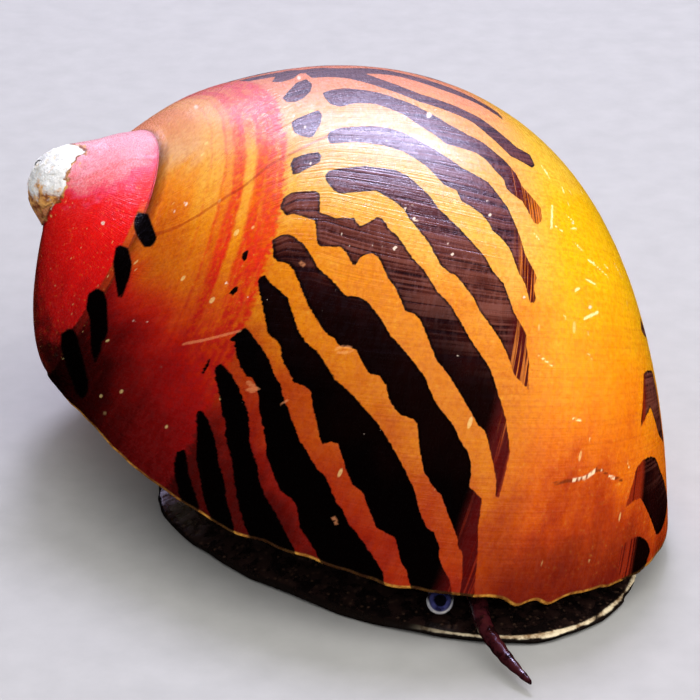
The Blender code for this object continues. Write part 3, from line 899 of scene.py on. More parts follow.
# Half length, half width, place ahead, place to the right and height
FOOT_RINGS = [
    (6.6, 3.9, 0.0, 0.0, 0.0), (6.95, 4.25, 0.0, 0.0, 0.03), (7.1, 4.4, 0.0, 0.0, 0.11),
    (7.08, 4.38, 0.0, 0.0, 0.2), (6.9, 4.2, 0.0, 0.0, 0.28), (6.3, 3.7, -0.2, 0.05, 0.4),
    (5.6, 3.2, -0.5, 0.1, 0.55), (4.7, 2.95, -1.4, 0.25, 0.78), (4.2, 2.7, -1.6, 0.4, 1.1),
    (3.6, 2.5, -1.0, 0.6, 1.5), (3.3, 2.4, -0.8, 0.7, 2.2), (3.0, 2.2, -0.7, 0.7, 3.6)]
FOOT_HALF_LENGTH = 7.05
FOOT_HALF_WIDTH = 4.35
FRONT_REACH = 0.055
FRONT_NOTCH = 5.5
HEAD_RIGHT = 0.5
# Place ahead, half width, half height and height
HEAD_RINGS = [
    (0.6, 1.5, 0.7, 2.3), (2.0, 1.75, 0.85, 2.05), (3.1, 2.0, 0.92, 1.93), (3.9, 2.1, 0.9, 1.86),
    (4.7, 1.8, 0.74, 1.66), (5.3, 1.45, 0.55, 1.45), (5.7, 1.1, 0.4, 1.3), (5.93, 0.75, 0.26, 1.22),
    (6.02, 0.4, 0.12, 1.2)]
MANTLE_GROWTH = 1.35
# Height over the aperture's plane, and inset from the shell
MANTLE_RINGS = [(0.75, 2.6), (0.42, 1.7), (0.38, 1.1), (0.55, 0.75), (0.9, 0.62), (2.0, 0.6), (3.0, 0.6)]
LIP_LOBES = [(5.45, 0.5, 1.08), (5.45, -0.5, 1.08)]
LOBE_RADII = (0.6, 0.52, 0.3)
MOUTH = (5.75, 0.0, 0.95)
EYE_RADIUS = 0.36
EYE_PLACE = (4.05, 2.93, 0.92)
EYE_LOOKS = {"right": (1, (0.0, -0.84, 0.54)), "left": (-1, (0.75, 0.2, 0.62))}
STALK_ROOT = (3.95, 1.75, 1.65)
STALK_RADII = (0.62, 0.6, 0.56, 0.5, 0.45, 0.42, 0.41, 0.4, 0.34)
TENTACLE_ROUTES = [
    [(2.05, -4.2, 1.5), (2.3, -4.95, 1.08), (2.36, -5.4, 0.9), (2.5, -6.1, 0.7), (2.98, -7.1, 0.46),
     (3.6, -8.05, 0.27)],
    [(4.2, -2.0, 1.6), (5.0, -1.6, 1.25), (5.6, -1.2, 1.02), (6.2, -0.5, 0.9), (6.5, 0.5, 0.86),
     (6.5, 1.5, 0.9)]]
TENTACLE_RADII = (0.33, 0.15)
SKIN_VOXEL = 0.06
SKIN_SMOOTHING = 4


def body_point(ahead, right, height):
    return AHEAD * ahead + RIGHT * right + np.array([0.0, 0.0, height])


def head_point(place, side=1):
    """Point from its distance ahead, out from the head's middle and up; side -1 is the left."""
    return body_point(place[0], HEAD_RIGHT + side * place[1], place[2])


def superellipse(points, squareness):
    angle = np.linspace(0, TURN, points, endpoint=False)
    power = 2 / squareness
    return signed_power(np.cos(angle), power), signed_power(np.sin(angle), power), angle


def loft(rings):
    """Closed surface through rings of like point counts."""
    rings = np.asarray(rings)
    count = rings.shape[1]
    points = np.concatenate([rings.reshape(-1, 3), rings[:1].mean(1), rings[-1:].mean(1)])
    sides = [(i, (i + 1) % count) for i in range(count)]
    first, last = len(points) - 2, len(points) - 1
    top = first - count
    faces = [(ring + i, ring + j, ring + count + j, ring + count + i)
             for ring in range(0, top, count) for i, j in sides]
    for i, j in sides:
        faces += [(first, j, i), (last, top + i, top + j)]
    return points, faces


def ball(centre, radii, segments=32, rings=16, turn=None):
    bm = bmesh.new()
    bmesh.ops.create_uvsphere(bm, u_segments=segments, v_segments=rings, radius=1)
    points = np.array([vert.co[:] for vert in bm.verts]) * np.asarray(radii)
    faces = [tuple(vert.index for vert in face.verts) for face in bm.faces]
    bm.free()
    if turn is not None:
        points = points @ np.array(turn).T
    return points + np.asarray(centre), faces


def smooth_route(points, count):
    """Catmull-Rom curve through some points."""
    knots = np.asarray(points, dtype=float)
    knots = np.concatenate([2 * knots[:1] - knots[1:2], knots, 2 * knots[-1:] - knots[-2:-1]])
    place = np.linspace(0, len(knots) - 3 - 1e-6, count)
    span = place.astype(int)
    t = (place - span)[:, None]
    a, b, c, d = (knots[span + k] for k in range(4))
    bend, twist = 2 * a - 5 * b + 4 * c - d, 3 * b - a - 3 * c + d
    return 0.5 * (2 * b + (c - a) * t + bend * t * t + twist * t ** 3)


def tube(route, radii, points=20):
    angle = np.linspace(0, TURN, points, endpoint=False)
    circle = np.stack([np.cos(angle), np.sin(angle), np.zeros(points)], axis=1)
    rings = []
    for i, centre in enumerate(route):
        along = route[min(i + 1, len(route) - 1)] - route[max(i - 1, 0)]
        turn = np.array(Vector(along.tolist()).to_track_quat("Z", "Y").to_matrix())
        rings.append(centre + circle * radii[i] @ turn.T)
    return loft(rings)


def foot_part():
    x, y, angle = superellipse(120, PLAN_SQUARENESS)
    rings = []
    for long, wide, ahead, right, height in FOOT_RINGS:
        edge = 1 - smooth(0.3, 0.9, height)
        wave = 1 + edge * 0.012 * (ripple(angle * 3, 11, 0.8) + 0.5 * ripple(angle * 3, 12, 0.3) - 0.6)
        wave[-1] = wave[0]
        lift = edge * (height > 0.02) * 0.03 * ripple(angle * 3, 13, 0.7)
        reach = 1 + FRONT_REACH * edge * smooth(0.0, 0.9, x)
        plan = AHEAD * (ahead + long * x * wave * reach)[:, None] + RIGHT * (right + wide * y * wave)[:, None]
        plan[:, 2] = height + lift
        rings.append(plan)
    return loft(rings)


def head_part():
    x, y, _ = superellipse(48, 2.3)
    rings = []
    for ahead, wide, high, height in HEAD_RINGS:
        ring = AHEAD * ahead + RIGHT * (HEAD_RIGHT + wide * x)[:, None]
        ring[:, 2] = height + high * y
        rings.append(ring)
    return loft(rings)


def mantle_part():
    """Soft mass that fills the aperture in front of the deck."""
    angles = np.linspace(BASE + 0.3, SUTURE - 0.12, 120)
    rings = []
    for height, inset in MANTLE_RINGS:
        inset /= MANTLE_GROWTH
        growth = bisect(lambda g: above_lip(coil_point(g, angles, inset)) - height,
                        np.full(angles.shape, -1.0), np.full(angles.shape, 3.6))
        ring = coil_point(growth, angles, inset)
        ring[:, 1] = np.minimum(ring[:, 1], DECK_EDGE_Y - 0.25)
        rings.append(ring)
    return loft(rings)


def feelers():
    parts = []
    for side in (1, -1):
        eye, root = head_point(EYE_PLACE, side), head_point(STALK_ROOT, side)
        along = (eye - root) / np.linalg.norm(eye - root)
        parts.append(tube(np.linspace(root, eye - along * 0.16, len(STALK_RADII)), STALK_RADII))
    share = np.linspace(0, 1, 70)
    radii = TENTACLE_RADII[0] * (1 - share) + TENTACLE_RADII[1] * share
    radii += 0.16 * np.exp(-share / 0.07) + 0.012 * np.sin(share * 95)
    radii *= 1 - 0.4 * smooth(0.78, 1.0, share)
    radii[-3:] *= (0.95, 0.85, 0.6)
    return parts + [tube(smooth_route(points, len(share)), radii) for points in TENTACLE_ROUTES]


def remesh(parts):
    """One skin round some closed surfaces, as points and faces."""
    points, faces, offset = [], [], 0
    for part_points, part_faces in parts:
        points.append(part_points)
        faces += [tuple(index + offset for index in face) for face in part_faces]
        offset += len(part_points)
    mesh = bpy.data.meshes.new("skin_parts")
    mesh.from_pydata(np.concatenate(points).tolist(), [], faces)
    obj = add_object("skin_parts", mesh)
    modifier = obj.modifiers.new("Remesh", "REMESH")
    modifier.mode = "VOXEL"
    modifier.voxel_size = SKIN_VOXEL
    smoother = obj.modifiers.new("Smooth", "SMOOTH")
    smoother.factor = 0.5
    smoother.iterations = SKIN_SMOOTHING
    result = bpy.data.meshes.new_from_object(obj.evaluated_get(bpy.context.evaluated_depsgraph_get()))
    points = np.empty(len(result.vertices) * 3)
    result.vertices.foreach_get("co", points)
    faces = [tuple(polygon.vertices) for polygon in result.polygons]
    bpy.data.objects.remove(obj)
    bpy.data.meshes.remove(mesh)
    bpy.data.meshes.remove(result)
    return points.reshape(-1, 3), faces


FLESH_NODES = ["foot", "head", "mantle", "eyestalk_right", "eyestalk_left"] + [
    "tentacle_%s_%s" % (side, length) for side in ("right", "left") for length in ("base", "mid", "tip")]


def build_skin():
    turn = Matrix.Rotation(HEADING, 3, "Z")
    lobes = [ball(head_point(place), LOBE_RADII, turn=turn) for place in LIP_LOBES]
    points, faces = remesh([foot_part(), head_part(), mantle_part()] + feelers() + lobes)
    offset = points - head_point(MOUTH)
    slit = bell(offset @ RIGHT, 0.13) * bell(offset[:, 2], 0.4) * np.exp(-(offset @ AHEAD / 0.75) ** 4)
    points[:, 2] = np.maximum(points[:, 2] + 0.3 * slit, 0.0)
    skin = mesh_piece("skin", points, faces, FLESH_NODES)
    ahead = points @ AHEAD
    plan_x = ahead / (FOOT_HALF_LENGTH * (1 + FRONT_REACH * smooth(0.0, 6.3, ahead)))
    plan_y = points @ RIGHT / FOOT_HALF_WIDTH
    out = (np.abs(plan_x) ** PLAN_SQUARENESS + np.abs(plan_y) ** PLAN_SQUARENESS) ** (1 / PLAN_SQUARENESS)
    # Share of the foot's margin at the front that shows its cream stripe; further back the margin stays dark
    # as painted shade under the shell.
    front = smooth(3.4, 5.2, ahead) * (1 - bell(points[:, 0] - FRONT_NOTCH, 0.07))
    routes = [distance_to_route(points, smooth_route(route, 40)) for route in TENTACLE_ROUTES]
    feeler = 1 - smooth(0.36, 0.6, np.minimum(*routes))
    margin = smooth(0.955, 1.0, out) * (1 - smooth(0.3, 0.42, points[:, 2])) * (1 - feeler)
    store(skin, front=front, feeler=feeler, margin=margin)
    return skin


def build_eye(name):
    side, look = EYE_LOOKS[name]
    centre = head_point(EYE_PLACE, side)
    look = np.array(look) / np.linalg.norm(look)
    points, faces = ball(centre, (EYE_RADIUS,) * 3, 64, 32)
    facing = (points - centre) @ look / EYE_RADIUS
    points = points + look * (0.05 * smooth(0.55, 1.0, facing))[:, None]
    eye = mesh_piece("eyeball_" + name, points, faces, ("eye_" + name,))
    # low, the depth below the eye's centre, places the painted lip shadow on the eye's upper part.
    store(eye, pupil=facing, low=(centre - points)[:, 2] / EYE_RADIUS)
    return eye


skin = build_skin()
eyes = [build_eye(name) for name in EYE_LOOKS]

OPERCULUM_PLACE = (-5.0, 0.1, 1.62)
OPERCULUM_SIZE = (2.6, 1.8, 0.5)
OPERCULUM_STRAIGHT_SIDE = 0.25
OPERCULUM_RIM = [(0.95, -0.9), (0.985, -0.6), (1.0, -0.2), (1.0, 0.2), (0.985, 0.6), (0.95, 0.9)]


def build_operculum():
    """Half-round plate with a bevelled rim and raised growth arcs."""
    long, wide, thick = OPERCULUM_SIZE
    x, y, _ = superellipse(96, 2.2)
    y = np.where(y > 0, y, OPERCULUM_STRAIGHT_SIDE * y)
    face = np.linspace(0.02, 0.9, 24)
    profile = [(share, -1) for share in face] + OPERCULUM_RIM + [(share, 1) for share in face[::-1]]
    centre = np.array([-0.35 * wide, 0.35 * long])
    outline = np.stack([-wide * y, long * x], axis=1)
    rings = []
    for share, height in profile:
        arcs = 0.02 * np.sin(share * 60) * (height > 0.95)
        rise = height * thick / 2 - 0.05 * (1 - share) * height + arcs
        rings.append(np.column_stack([centre + (outline - centre) * share, np.full(len(x), rise)]))
    points, faces = loft(rings)
    turn = np.array(Matrix.Rotation(LIP_TILT, 3, "Y") @ Matrix.Rotation(HEADING, 3, "Z"))
    points = points @ turn.T + body_point(*OPERCULUM_PLACE)
    return mesh_piece("operculum_plate", points, faces, ("operculum",))


CALLUS_CENTRE = np.array([-3.0, 6.3, 3.3])
CALLUS_RADII = (3.6, 2.4, 1.9)


def build_callus():
    """Smooth lobe of enamel over the base of the coil, level with the underside."""
    points, faces = ball((0, 0, 0), CALLUS_RADII, 96, 64)
    wave = np.array([noise.noise(Vector((point * 0.5).tolist())) for point in points])
    points = CALLUS_CENTRE + points * (1 + 0.05 * wave)[:, None]
    height = above_lip(points)
    points = points + LIP_NORMAL * (0.1 * np.logaddexp(0, height / 0.1) - height + 0.02)[:, None]
    return mesh_piece("callus", points, faces)


CORE_VALUES = {
    "coil": (0.0, 1.5, -9.0), "worn": 1.0, "rim": 5.0, "ink": NO_INK, "dash": NO_INK, "chip": NO_INK,
    "scar": NO_LINE, "mark": NO_LINE, "scratch": NO_LINE}


def build_apex_core():
    """Worn shell matter under the pole of the coil, which is open at its very centre."""
    points, faces = ball((0, 0, 0), (WORN_RADIUS - 0.05,) * 3, 64, 32)
    rough = worn_roughness(points)
    core = mesh_piece("apex_core", WORN_HEART + points * (1 + 0.03 * rough)[:, None], faces)
    for name, value in CORE_VALUES.items():
        store(core, **{name: np.full((len(points),) + np.shape(value), value)})
    return core


operculum = build_operculum()
callus = build_callus()
apex_core = build_apex_core()


# Materials: colours are display values, and stops along the coil are growth angles

INK = (5, 1, 1)


def shell_measures(nodes):
    """Places, noises and lines that the shell's colours are made from."""
    coil = nodes.vector("coil")
    _, angle, growth = coil.split()
    blotch = coil.scaled(5, 6, 0).noise(1, 4)
    shift = blotch - 0.5
    return SimpleNamespace(
        coil=coil, place=nodes.place(), rim=nodes.value("rim"), angle=angle, growth=growth, blotch=blotch,
        near_angle=angle + shift * 0.03,
        near_growth=growth + shift * 0.4,
        fine=coil.scaled(70, 60, 0).noise(),
        grit=coil.scaled(26, 60, 0).noise(1, 4, 0.65),
        lines=nodes.vector("lines").scaled(95, 1.6, 0).noise(1, 4, 0.6),
        bands=coil.scaled(3.2, 44, 0).noise(1, 4, 0.6),
        streaks=coil.scaled(2.5, 95, 0).noise(1, 4, 0.6))


def striped_ground(at):
    """Ground of the last whorl: between the stripes, and below their tails."""
    # Both ramps run from pale gold and peach at the top to deep red and near black at the bottom: partly the
    # shell's own colour and partly painted shade lower down; the blue-tinged stops near the top are partly
    # painted highlight.
    below = (at.near_growth + at.angle.range(0.2, 0.8, 0.1, -0.08)).ramp(
        (-3.7, 150, 30, 5), (-2.0, 225, 110, 10), (-0.3, 236, 180, 60), (0.2, 238, 193, 58),
        (0.4, 237, 185, 6), (0.62, 242, 184, 1), (0.72, 241, 177, 0), (0.84, 243, 154, 0),
        (0.96, 243, 139, 0), (1.06, 236, 121, 0), (1.16, 210, 88, 1), (1.23, 176, 56, 1), (1.3, 145, 42, 1),
        (1.43, 110, 18, 2), (1.6, 60, 8, 2))
    between = at.near_growth.ramp(
        (-3.7, 150, 10, 5), (-1.8, 212, 90, 24), (-0.3, 212, 124, 84), (0.05, 226, 144, 92),
        (0.3, 239, 170, 88), (0.5, 236, 172, 86), (0.7, 237, 182, 73), (0.8, 238, 168, 56),
        (0.88, 230, 141, 20), (0.98, 228, 134, 4), (1.22, 214, 118, 1), (1.35, 184, 72, 1),
        (1.5, 164, 40, 1), (1.58, 136, 16, 1), (1.68, 84, 5, 1), (2.0, 50, 2, 1))
    return at.near_angle.blend(0.84, 0.6, between, below)


def shoulder_ground(at):
    """Orange, gold and red bands above the stripes, and painted shade beside the suture."""
    near, across = at.near_growth, (at.near_angle - 1.53) / 0.47
    # The ramps darken from peach, orange and gold at the top to near-black red at the bottom: partly the
    # shell's own red and partly painted shade; the pale peach stop at growth 0.45 is partly painted
    # highlight.
    colour = near.ramp(
        (-3.7, 140, 8, 8), (-1.6, 215, 95, 30), (-0.2, 234, 146, 84), (0.1, 234, 152, 86),
        (0.45, 238, 180, 124), (0.62, 244, 160, 56), (0.8, 247, 140, 8), (0.95, 230, 112, 2),
        (1.07, 212, 97, 1), (1.3, 207, 99, 1), (1.42, 202, 68, 1), (1.54, 190, 24, 1), (1.68, 140, 3, 1),
        (1.8, 102, 0, 0), (2.04, 52, 0, 0), (2.6, 26, 0, 0))
    red = near.ramp(
        (-3.7, 120, 5, 8), (-1.4, 190, 44, 34), (-0.1, 214, 50, 66), (0.15, 226, 60, 74),
        (0.43, 231, 76, 74), (0.62, 230, 66, 40), (0.8, 228, 50, 11), (1.05, 230, 34, 2), (1.2, 206, 13, 1),
        (1.36, 180, 2, 1), (1.61, 153, 0, 0), (1.82, 120, 0, 0), (2.3, 56, 0, 0))
    gold = near.ramp(
        (-3.7, 140, 30, 8), (-1.0, 236, 150, 60), (0.2, 244, 186, 110), (0.7, 246, 180, 62),
        (1.0, 240, 150, 6), (1.3, 226, 118, 3), (1.45, 206, 70, 3), (1.6, 160, 12, 2), (2.3, 60, 1, 1))
    red_share = across.ramp(
        (0.0, 0.95), (0.21, 0.9), (0.235, 0.05), (0.275, 0.05), (0.295, 0.95), (0.35, 0.85), (0.375, 0.25),
        (0.40, 0.3), (0.412, 0.65), (0.428, 0.15), (0.5, 0.0), (0.515, 0.3), (0.53, 0.0), (1.0, 0.0))
    gold_share = across.ramp(
        (0.21, 0.0), (0.235, 0.9), (0.275, 0.9), (0.295, 0.0), (0.36, 0.3), (0.41, 0.2), (0.43, 0.8),
        (0.56, 0.7), (0.62, 0.2), (0.7, 0.1), (1.0, 0.0))
    colour = mix(gold_share * near.range(1.3, 0.95, 0.35, 1), colour, gold)
    spread = across.range(0.4, 0.34) * near.range(0.6, 0.15, 0, 0.85)
    low = across.range(0.42, 0.34) * near.range(1.1, 1.4, 0, 0.85)
    red_share = red_share | spread | low
    colour = mix(red_share * at.grit.range(0.38, 0.56, 0.55, 1), colour, red)
    colour = mix(red_share * at.grit.range(0.58, 0.7, 0, 0.3), colour, (150, 0, 0), "MULTIPLY")
    colour = mix(at.bands.range(0.5, 0.72, 0, 0.35), colour, gold)
    # Painted shade: a grey-brown band beside the suture on the last whorl's upper part.
    suture_shade = (at.near_angle - 1.965).size().range(0.035, 0.01, 0, 0.56)
    suture_shade = suture_shade * at.growth.range(0.1, 0.4) * at.growth.range(1.6, 0.95)
    return mix(suture_shade, colour, (130, 96, 84), "MULTIPLY")


def old_ground(at):
    """Ground of the whorls before: red by the last whorl and pink further back, with lobes by the suture."""
    cloud = at.coil.scaled(3.5, 4.5, 3).noise(1, 4, 0.6) - 0.5
    place = at.growth + (0.7 - at.angle) * 0.8 + cloud * 1.1
    # The ramp's darkening to near black towards the last whorl is partly the shell's own deep red and partly
    # painted shade.
    colour = place.ramp(
        (-9.5, 200, 120, 60), (-8.2, 226, 150, 120), (-7.4, 234, 156, 168), (-6.7, 236, 150, 170),
        (-6.3, 250, 140, 156), (-6.05, 252, 106, 116), (-5.85, 250, 62, 96), (-5.65, 250, 22, 26),
        (-5.3, 248, 9, 3), (-4.8, 226, 1, 0), (-4.3, 186, 1, 1), (-4.05, 120, 2, 2), (-3.85, 56, 1, 1),
        (-3.6, 24, 1, 1), (-3.0, 14, 1, 1))
    pale = at.grit.range(0.45, 0.65) * place.range(-5.8, -6.1, 0, 0.315)
    colour = mix(pale, colour, (255, 215, 205), "SCREEN")
    lobes = at.near_growth.ramp(
        (-5.3, 232, 120, 60), (-5.1, 212, 90, 10), (-4.75, 184, 56, 6), (-4.4, 124, 14, 3),
        (-4.1, 60, 2, 2))
    edge = at.angle + (at.grit - 0.5) * 0.08
    return mix(edge.range(0.83, 0.79) * at.near_growth.range(-5.35, -5.15), colour, lobes)


def shell_ground(at):
    """Everything under the dark pattern, with painted shade in the suture's crease, pale flecks, grain and
    painted glints.
    """
    colour = (at.angle + (at.fine - 0.5) * 0.05).blend(1.545, 1.565, striped_ground(at), shoulder_ground(at))
    colour = mix(at.lines.range(0.42, 0.75, 0, 0.24), colour, (205, 120, 70), "MULTIPLY")
    colour = at.near_growth.blend(-3.2, -3.7, colour, old_ground(at))
    # Painted shade along the suture's crease, on the last whorl and on the whorl before where they meet.
    groove_shade = at.angle.range(1.955, 1.985) | at.angle.range(0.70, 0.665) * at.growth.range(-3.4, -3.7)
    colour = mix(groove_shade * at.growth.range(2.0, 1.2, 0, 0.6375), colour, (120, 74, 56), "MULTIPLY")
    cells = at.coil.scaled(13, 30, 0)
    fleck = cells.cells(1, "Color").split()[0].range(0.8, 1, 0, 0.24) - cells.cells()
    colour = mix(fleck.range(0, 0.07, 0, 0.45) * at.rim.range(0.4, 1.2), colour, (255, 232, 150))
    speck = at.place.noise(9000, 3, 0.7)
    colour = mix(speck.range(0.56, 0.36, 0, 0.36), colour, (214, 150, 110), "MULTIPLY")
    # Pale yellow specks on the upper part of the whorl: painted glints.
    return mix(speck.range(0.6, 0.72, 0, 0.2) * at.growth.range(1.5, 1), colour, (255, 210, 90), "SCREEN")


def dark_stripes(at, ink):
    """Colour of the stripes: lighter and violet towards the top with pale streaks, a painted sheen, and
    comb-like tails.
    """
    # The lighter, violet stops up to growth 0.9 are painted sheen; lower down the stripes are near black.
    body = at.near_growth.ramp(
        (-4.0, 8, 2, 2), (-0.6, 34, 16, 24), (0.3, 56, 26, 42), (0.6, 70, 30, 36), (0.8, 94, 42, 30),
        (0.9, 66, 20, 11), (1.0, 34, 4, 3), (1.12, 18, 2, 1), (1.36, 4, 1, 1), (2.0, 3, 1, 1))
    # Pale streaks on the upper stripes, along the fine lines and the grit below: painted sheen.
    pale = mix(0.6, body, (120, 70, 58), "SCREEN")
    colour = mix(at.lines.range(0.46, 0.58, 0, 0.8) * at.growth.range(1.08, 0.86), body, pale)
    colour = mix(at.lines.range(0.46, 0.36, 0, 0.8) * at.growth.range(1.25, 0.95), colour, (20, 5, 10))
    colour = mix(ink.range(0.085, 0.03, 0, 0.75), colour, INK)
    colour = mix(at.grit.range(0.5, 0.66, 0, 0.4) * at.growth.range(1.05, 0.85), colour, pale)
    upper = at.near_angle.range(0.85, 0.79) * at.angle.range(0.4, 0.5)
    lower = at.near_angle.range(0.13, 0.17) * at.angle.range(0.5, 0.4)
    comb = at.growth.blend(1.0, 0.7, at.streaks, at.coil.scaled(3, 210, 0).noise(1, 2, 0.6))
    comb = comb + at.near_angle.range(0.70, 0.84, 0.03, -0.1)
    teeth = at.near_growth.blend(1.0, 1.2, (206, 110, 22), (120, 24, 4))
    teeth = at.angle.blend(0.5, 0.4, teeth, (140, 36, 5))
    tails = comb.blend(0.46, 0.56, (78, 3, 2), teeth)
    return mix((upper | lower) * at.growth.range(0.36, 0.42), colour, tails)


def marked(nodes, at, colour):
    """The growth mark, the scar, the scratches and the chips, over the pattern."""
    colour = mix(nodes.value("mark").range(0.075, 0.02, 0, 0.6), colour, (190, 110, 60), "MULTIPLY")
    scar = at.coil.scaled(6, 26, 0).noise(1, 1).blend(0.46, 0.52, (120, 44, 6), (255, 226, 184))
    colour = mix(nodes.value("scar").range(0.06, 0.02, 0, 0.9), colour, scar)
    scratch = (nodes.value("scratch") + at.fine * 0.04).range(0.075, 0.035, 0, 0.85)
    pale = at.angle.blend(0.85, 0.75, mix(0.6, colour, (220, 140, 90), "SCREEN"), (255, 246, 176))
    chip = nodes.value("chip") + (at.fine - 0.5) * 0.09
    return mix(chip.range(-0.005, 0.03, 0, 0.85), mix(scratch, colour, pale), (252, 226, 206))


def rimmed(at, colour, ink_share):
    """Amber lip, and the brown inside it."""
    amber = at.fine.blend(0.3, 0.7, (232, 166, 66), (150, 84, 20))
    amber = mix(at.blotch.range(0.44, 0.6, 0, 0.7), amber, (96, 48, 12))
    amber = mix(ink_share * 0.9, amber, (40, 18, 8))
    inside = at.blotch.blend(0.35, 0.65, (112, 58, 14), (60, 26, 8))
    return at.rim.blend(-0.05, -0.25, at.rim.blend(0.085, 0.03, colour, amber), inside)


def worn_down(at, colour, grain, worn):
    """Chalky apex, burnt on its lower side and round its edge."""
    chalk = grain.blend(0.3, 0.5, (250, 238, 214), (255, 255, 255))
    burnt = grain.blend(0.4, 0.6, (140, 62, 12), (244, 178, 96))
    patch = (at.place.noise(1300, 4, 0.6) - 0.5) * 2.6
    low_side = at.place.split()[2].range(0.0090, 0.0074) + patch + (grain - 0.5)
    chalk = low_side.blend(0.3, 0.7, chalk, burnt)
    return worn.blend(0.42, 0.56, worn.blend(0.22, 0.36, colour, burnt), chalk)


def shell_look():
    nodes = Nodes("shell_pattern")
    at = shell_measures(nodes)
    ink = nodes.value("ink") + (at.fine - 0.5) * 0.07
    ink_share = ink.range(-0.012, 0.018)
    colour = mix(ink_share, shell_ground(at), dark_stripes(at, ink))
    dash = nodes.value("dash") + (at.fine - 0.5) * 0.06
    colour = mix(dash.range(-0.04, 0.03), colour, INK)
    colour = rimmed(at, marked(nodes, at, colour), ink_share)
    grain = at.place.noise(3800, 5, 0.65)
    worn = nodes.value("worn") + (grain - 0.5) * 0.7
    colour = worn_down(at, colour, grain, worn)
    bare = worn.range(0.3, 0.6)
    bump = nodes.bump(at.lines * 0.8 + at.fine * 0.2, 0.6, 0.00005)
    bump = nodes.bump(grain * bare, 0.9, 0.00015, Normal=bump)
    rough = at.grit.range(0.3, 0.7, 0.2, 0.34) + bare * 0.5
    nodes.finish(shell, apex_core, Base_Color=colour, Roughness=rough, Normal=bump, Specular_IOR_Level=0.45,
                 Coat_Weight=0.05, Coat_Roughness=0.1)


def skin_look():
    nodes = Nodes("wet_flesh")
    place = nodes.place()
    mottle = place.noise(2600, 5, 0.6)
    freckle = place.cells(5200)
    body = mottle.blend(0.38, 0.66, (14, 9, 9), (40, 25, 22))
    body = mix(freckle.range(0.32, 0.12, 0, 0.4), body, (92, 68, 54))
    body = mix(nodes.value("feeler"), body, mottle.blend(0.4, 0.62, (22, 5, 8), (62, 17, 23)))
    cream = mottle.blend(0.35, 0.6, (150, 118, 84), (240, 222, 186))
    height = place.split()[2] + (mottle - 0.5) * 0.0001
    stripe = height.range(0.00018, 0.00021) * height.range(0.00030, 0.00028)
    upper = height.range(0.00033, 0.00035) * height.range(0.00039, 0.00037)
    upper = upper * place.noise(1500, 2).range(0.5, 0.56, 0, 0.8)
    # The dark (22, 15, 13) below the cream stripe and away from the front is painted shade under the foot's
    # rim and under the shell.
    edge = mix((stripe + upper) * nodes.value("front"), (22, 15, 13), cream)
    body = (nodes.value("margin") + mottle * 0.5).blend(0.62, 0.9, body, edge)
    bump = nodes.bump(mottle + freckle * 0.4, 0.5, 0.00006)
    nodes.finish(skin, Base_Color=body, Roughness=mottle.range(0.3, 0.7, 0.18, 0.38), Normal=bump,
                 Coat_Weight=0.5, Coat_Roughness=0.08)


def eye_look():
    nodes = Nodes("eye_glass")
    pupil = nodes.value("pupil")
    haze = nodes.place().noise(5200)
    cup = haze.blend(0.35, 0.65, (186, 186, 200), (240, 236, 232))
    # Painted shadow of the shell's lip: the cup's upper part is dark (40, 34, 44).
    cup = nodes.value("low").blend(-0.45, -0.1, (40, 34, 44), cup)
    iris = haze.blend(0.35, 0.65, (28, 28, 62), (64, 66, 120))
    colour = (pupil + haze * 0.08).blend(0.55, 0.72, cup, iris)
    colour = pupil.blend(0.86, 0.93, colour, (6, 6, 14))
    nodes.finish(*eyes, Base_Color=colour, Roughness=haze.range(0.3, 0.7, 0.08, 0.16), Coat_Weight=1.0,
                 Coat_Roughness=0.03)


def enamel_look(name, piece, pale, deep, relief):
    nodes = Nodes(name)
    place = nodes.place()
    cloud, grain = place.noise(420, 4), place.noise(6000)
    colour = cloud.blend(0.35, 0.65, deep, pale)
    colour = mix(grain.range(0.5, 0.75, 0, 0.18), colour, (149, 124, 89))
    nodes.finish(piece, Base_Color=colour, Roughness=grain.range(0.3, 0.7, 0.22, 0.4),
                 Normal=nodes.bump(cloud + grain * 0.2, relief, 0.0001), Coat_Weight=0.2, Coat_Roughness=0.15)


shell_look()
skin_look()
eye_look()
enamel_look("callus_enamel", callus, (236, 214, 160), (206, 150, 84), 0.3)
enamel_look("operculum_plate", operculum, (112, 84, 66), (58, 38, 32), 0.8)
enamel_look("deck_enamel", bpy.data.objects["columella_deck"], (240, 226, 190), (214, 176, 116), 0.3)


# Floor, light and the finish

LIGHT_FROM_ABOVE = (0.02, 0.58, 0.81)


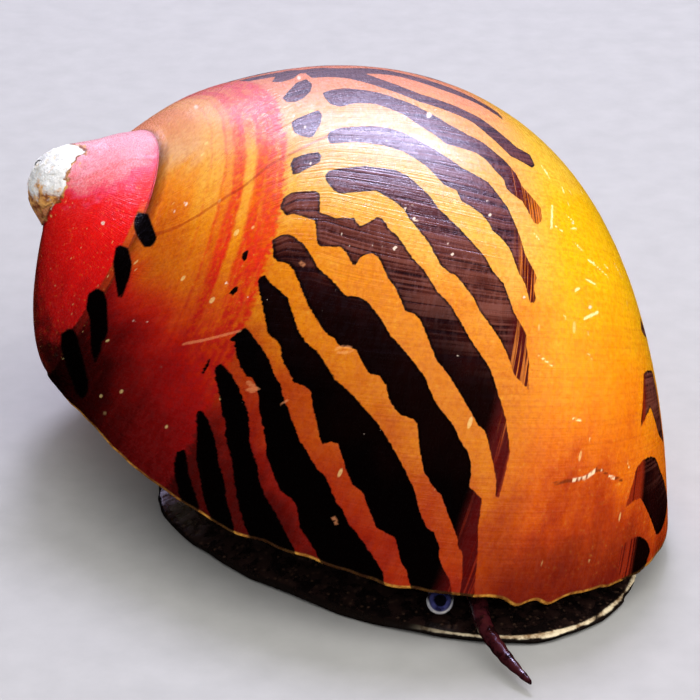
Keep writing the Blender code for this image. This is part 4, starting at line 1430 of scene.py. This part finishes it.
def build_floor():
    bm = bmesh.new()
    bmesh.ops.create_grid(bm, x_segments=8, y_segments=8, size=1.5)
    mesh = bpy.data.meshes.new("floor")
    bm.to_mesh(mesh)
    bm.free()
    floor = add_object("floor", mesh)
    nodes = Nodes("floor")
    colour = nodes.place().noise(900, 4).ramp((0.3, 169.6, 168.7, 166.7), (0.7, 177.1, 176.2, 174.3))
    nodes.finish(floor, Base_Color=colour, Roughness=0.75)
    floor.visible_glossy = False


def soft_light(name, direction, distance, size, power, colour, matte=True, mirrored=True):
    """Area light of the given width and height in mm, turned to the snail."""
    data = bpy.data.lights.new(name, "AREA")
    data.shape = "ELLIPSE"
    data.size, data.size_y = size[0] * MM, size[1] * MM
    data.energy = power
    data.color = colour
    light = add_object(name, data)
    away = Vector(direction).normalized()
    light.location = Vector((AIM * MM).tolist()) + away * distance * MM
    light.rotation_euler = away.to_track_quat("Z", "Y").to_euler()
    light.visible_diffuse = matte
    light.visible_glossy = mirrored


def light_scene():
    soft_light("sky_light", LIGHT_FROM_ABOVE, 150, (44, 44), 0.17, (0.80, 0.80, 1.0), mirrored=False)
    soft_light("sky_gleam", (0.05, 0.58, 0.81), 150, (120, 60), 0.15, (0.62, 0.56, 1.0), matte=False)
    soft_light("bright_sky", LIGHT_FROM_ABOVE, 140, (90, 9), 0.22, (0.70, 0.70, 1.0), matte=False)
    soft_light("front_light", (0.25, -0.5, 0.83), 150, (230, 230), 0.26, (1.0, 0.98, 0.95), mirrored=False)
    soft_light("right_light", (0.85, -0.1, 0.5), 150, (120, 120), 0.06, (1.0, 0.97, 0.9), mirrored=False)
    soft_light("back_light", (-0.1, 0.95, 0.3), 160, (160, 110), 0.05, (0.76, 0.66, 1.0), matte=False)
    world = bpy.data.worlds.new("studio")
    world.use_nodes = True
    background = world.node_tree.nodes["Background"]
    background.inputs["Color"].default_value = (0.92, 0.93, 0.95, 1)
    background.inputs["Strength"].default_value = 0.4
    world.cycles_visibility.glossy = False
    bpy.context.scene.world = world
    bpy.context.scene.view_settings.view_transform = "Standard"


build_floor()
light_scene()
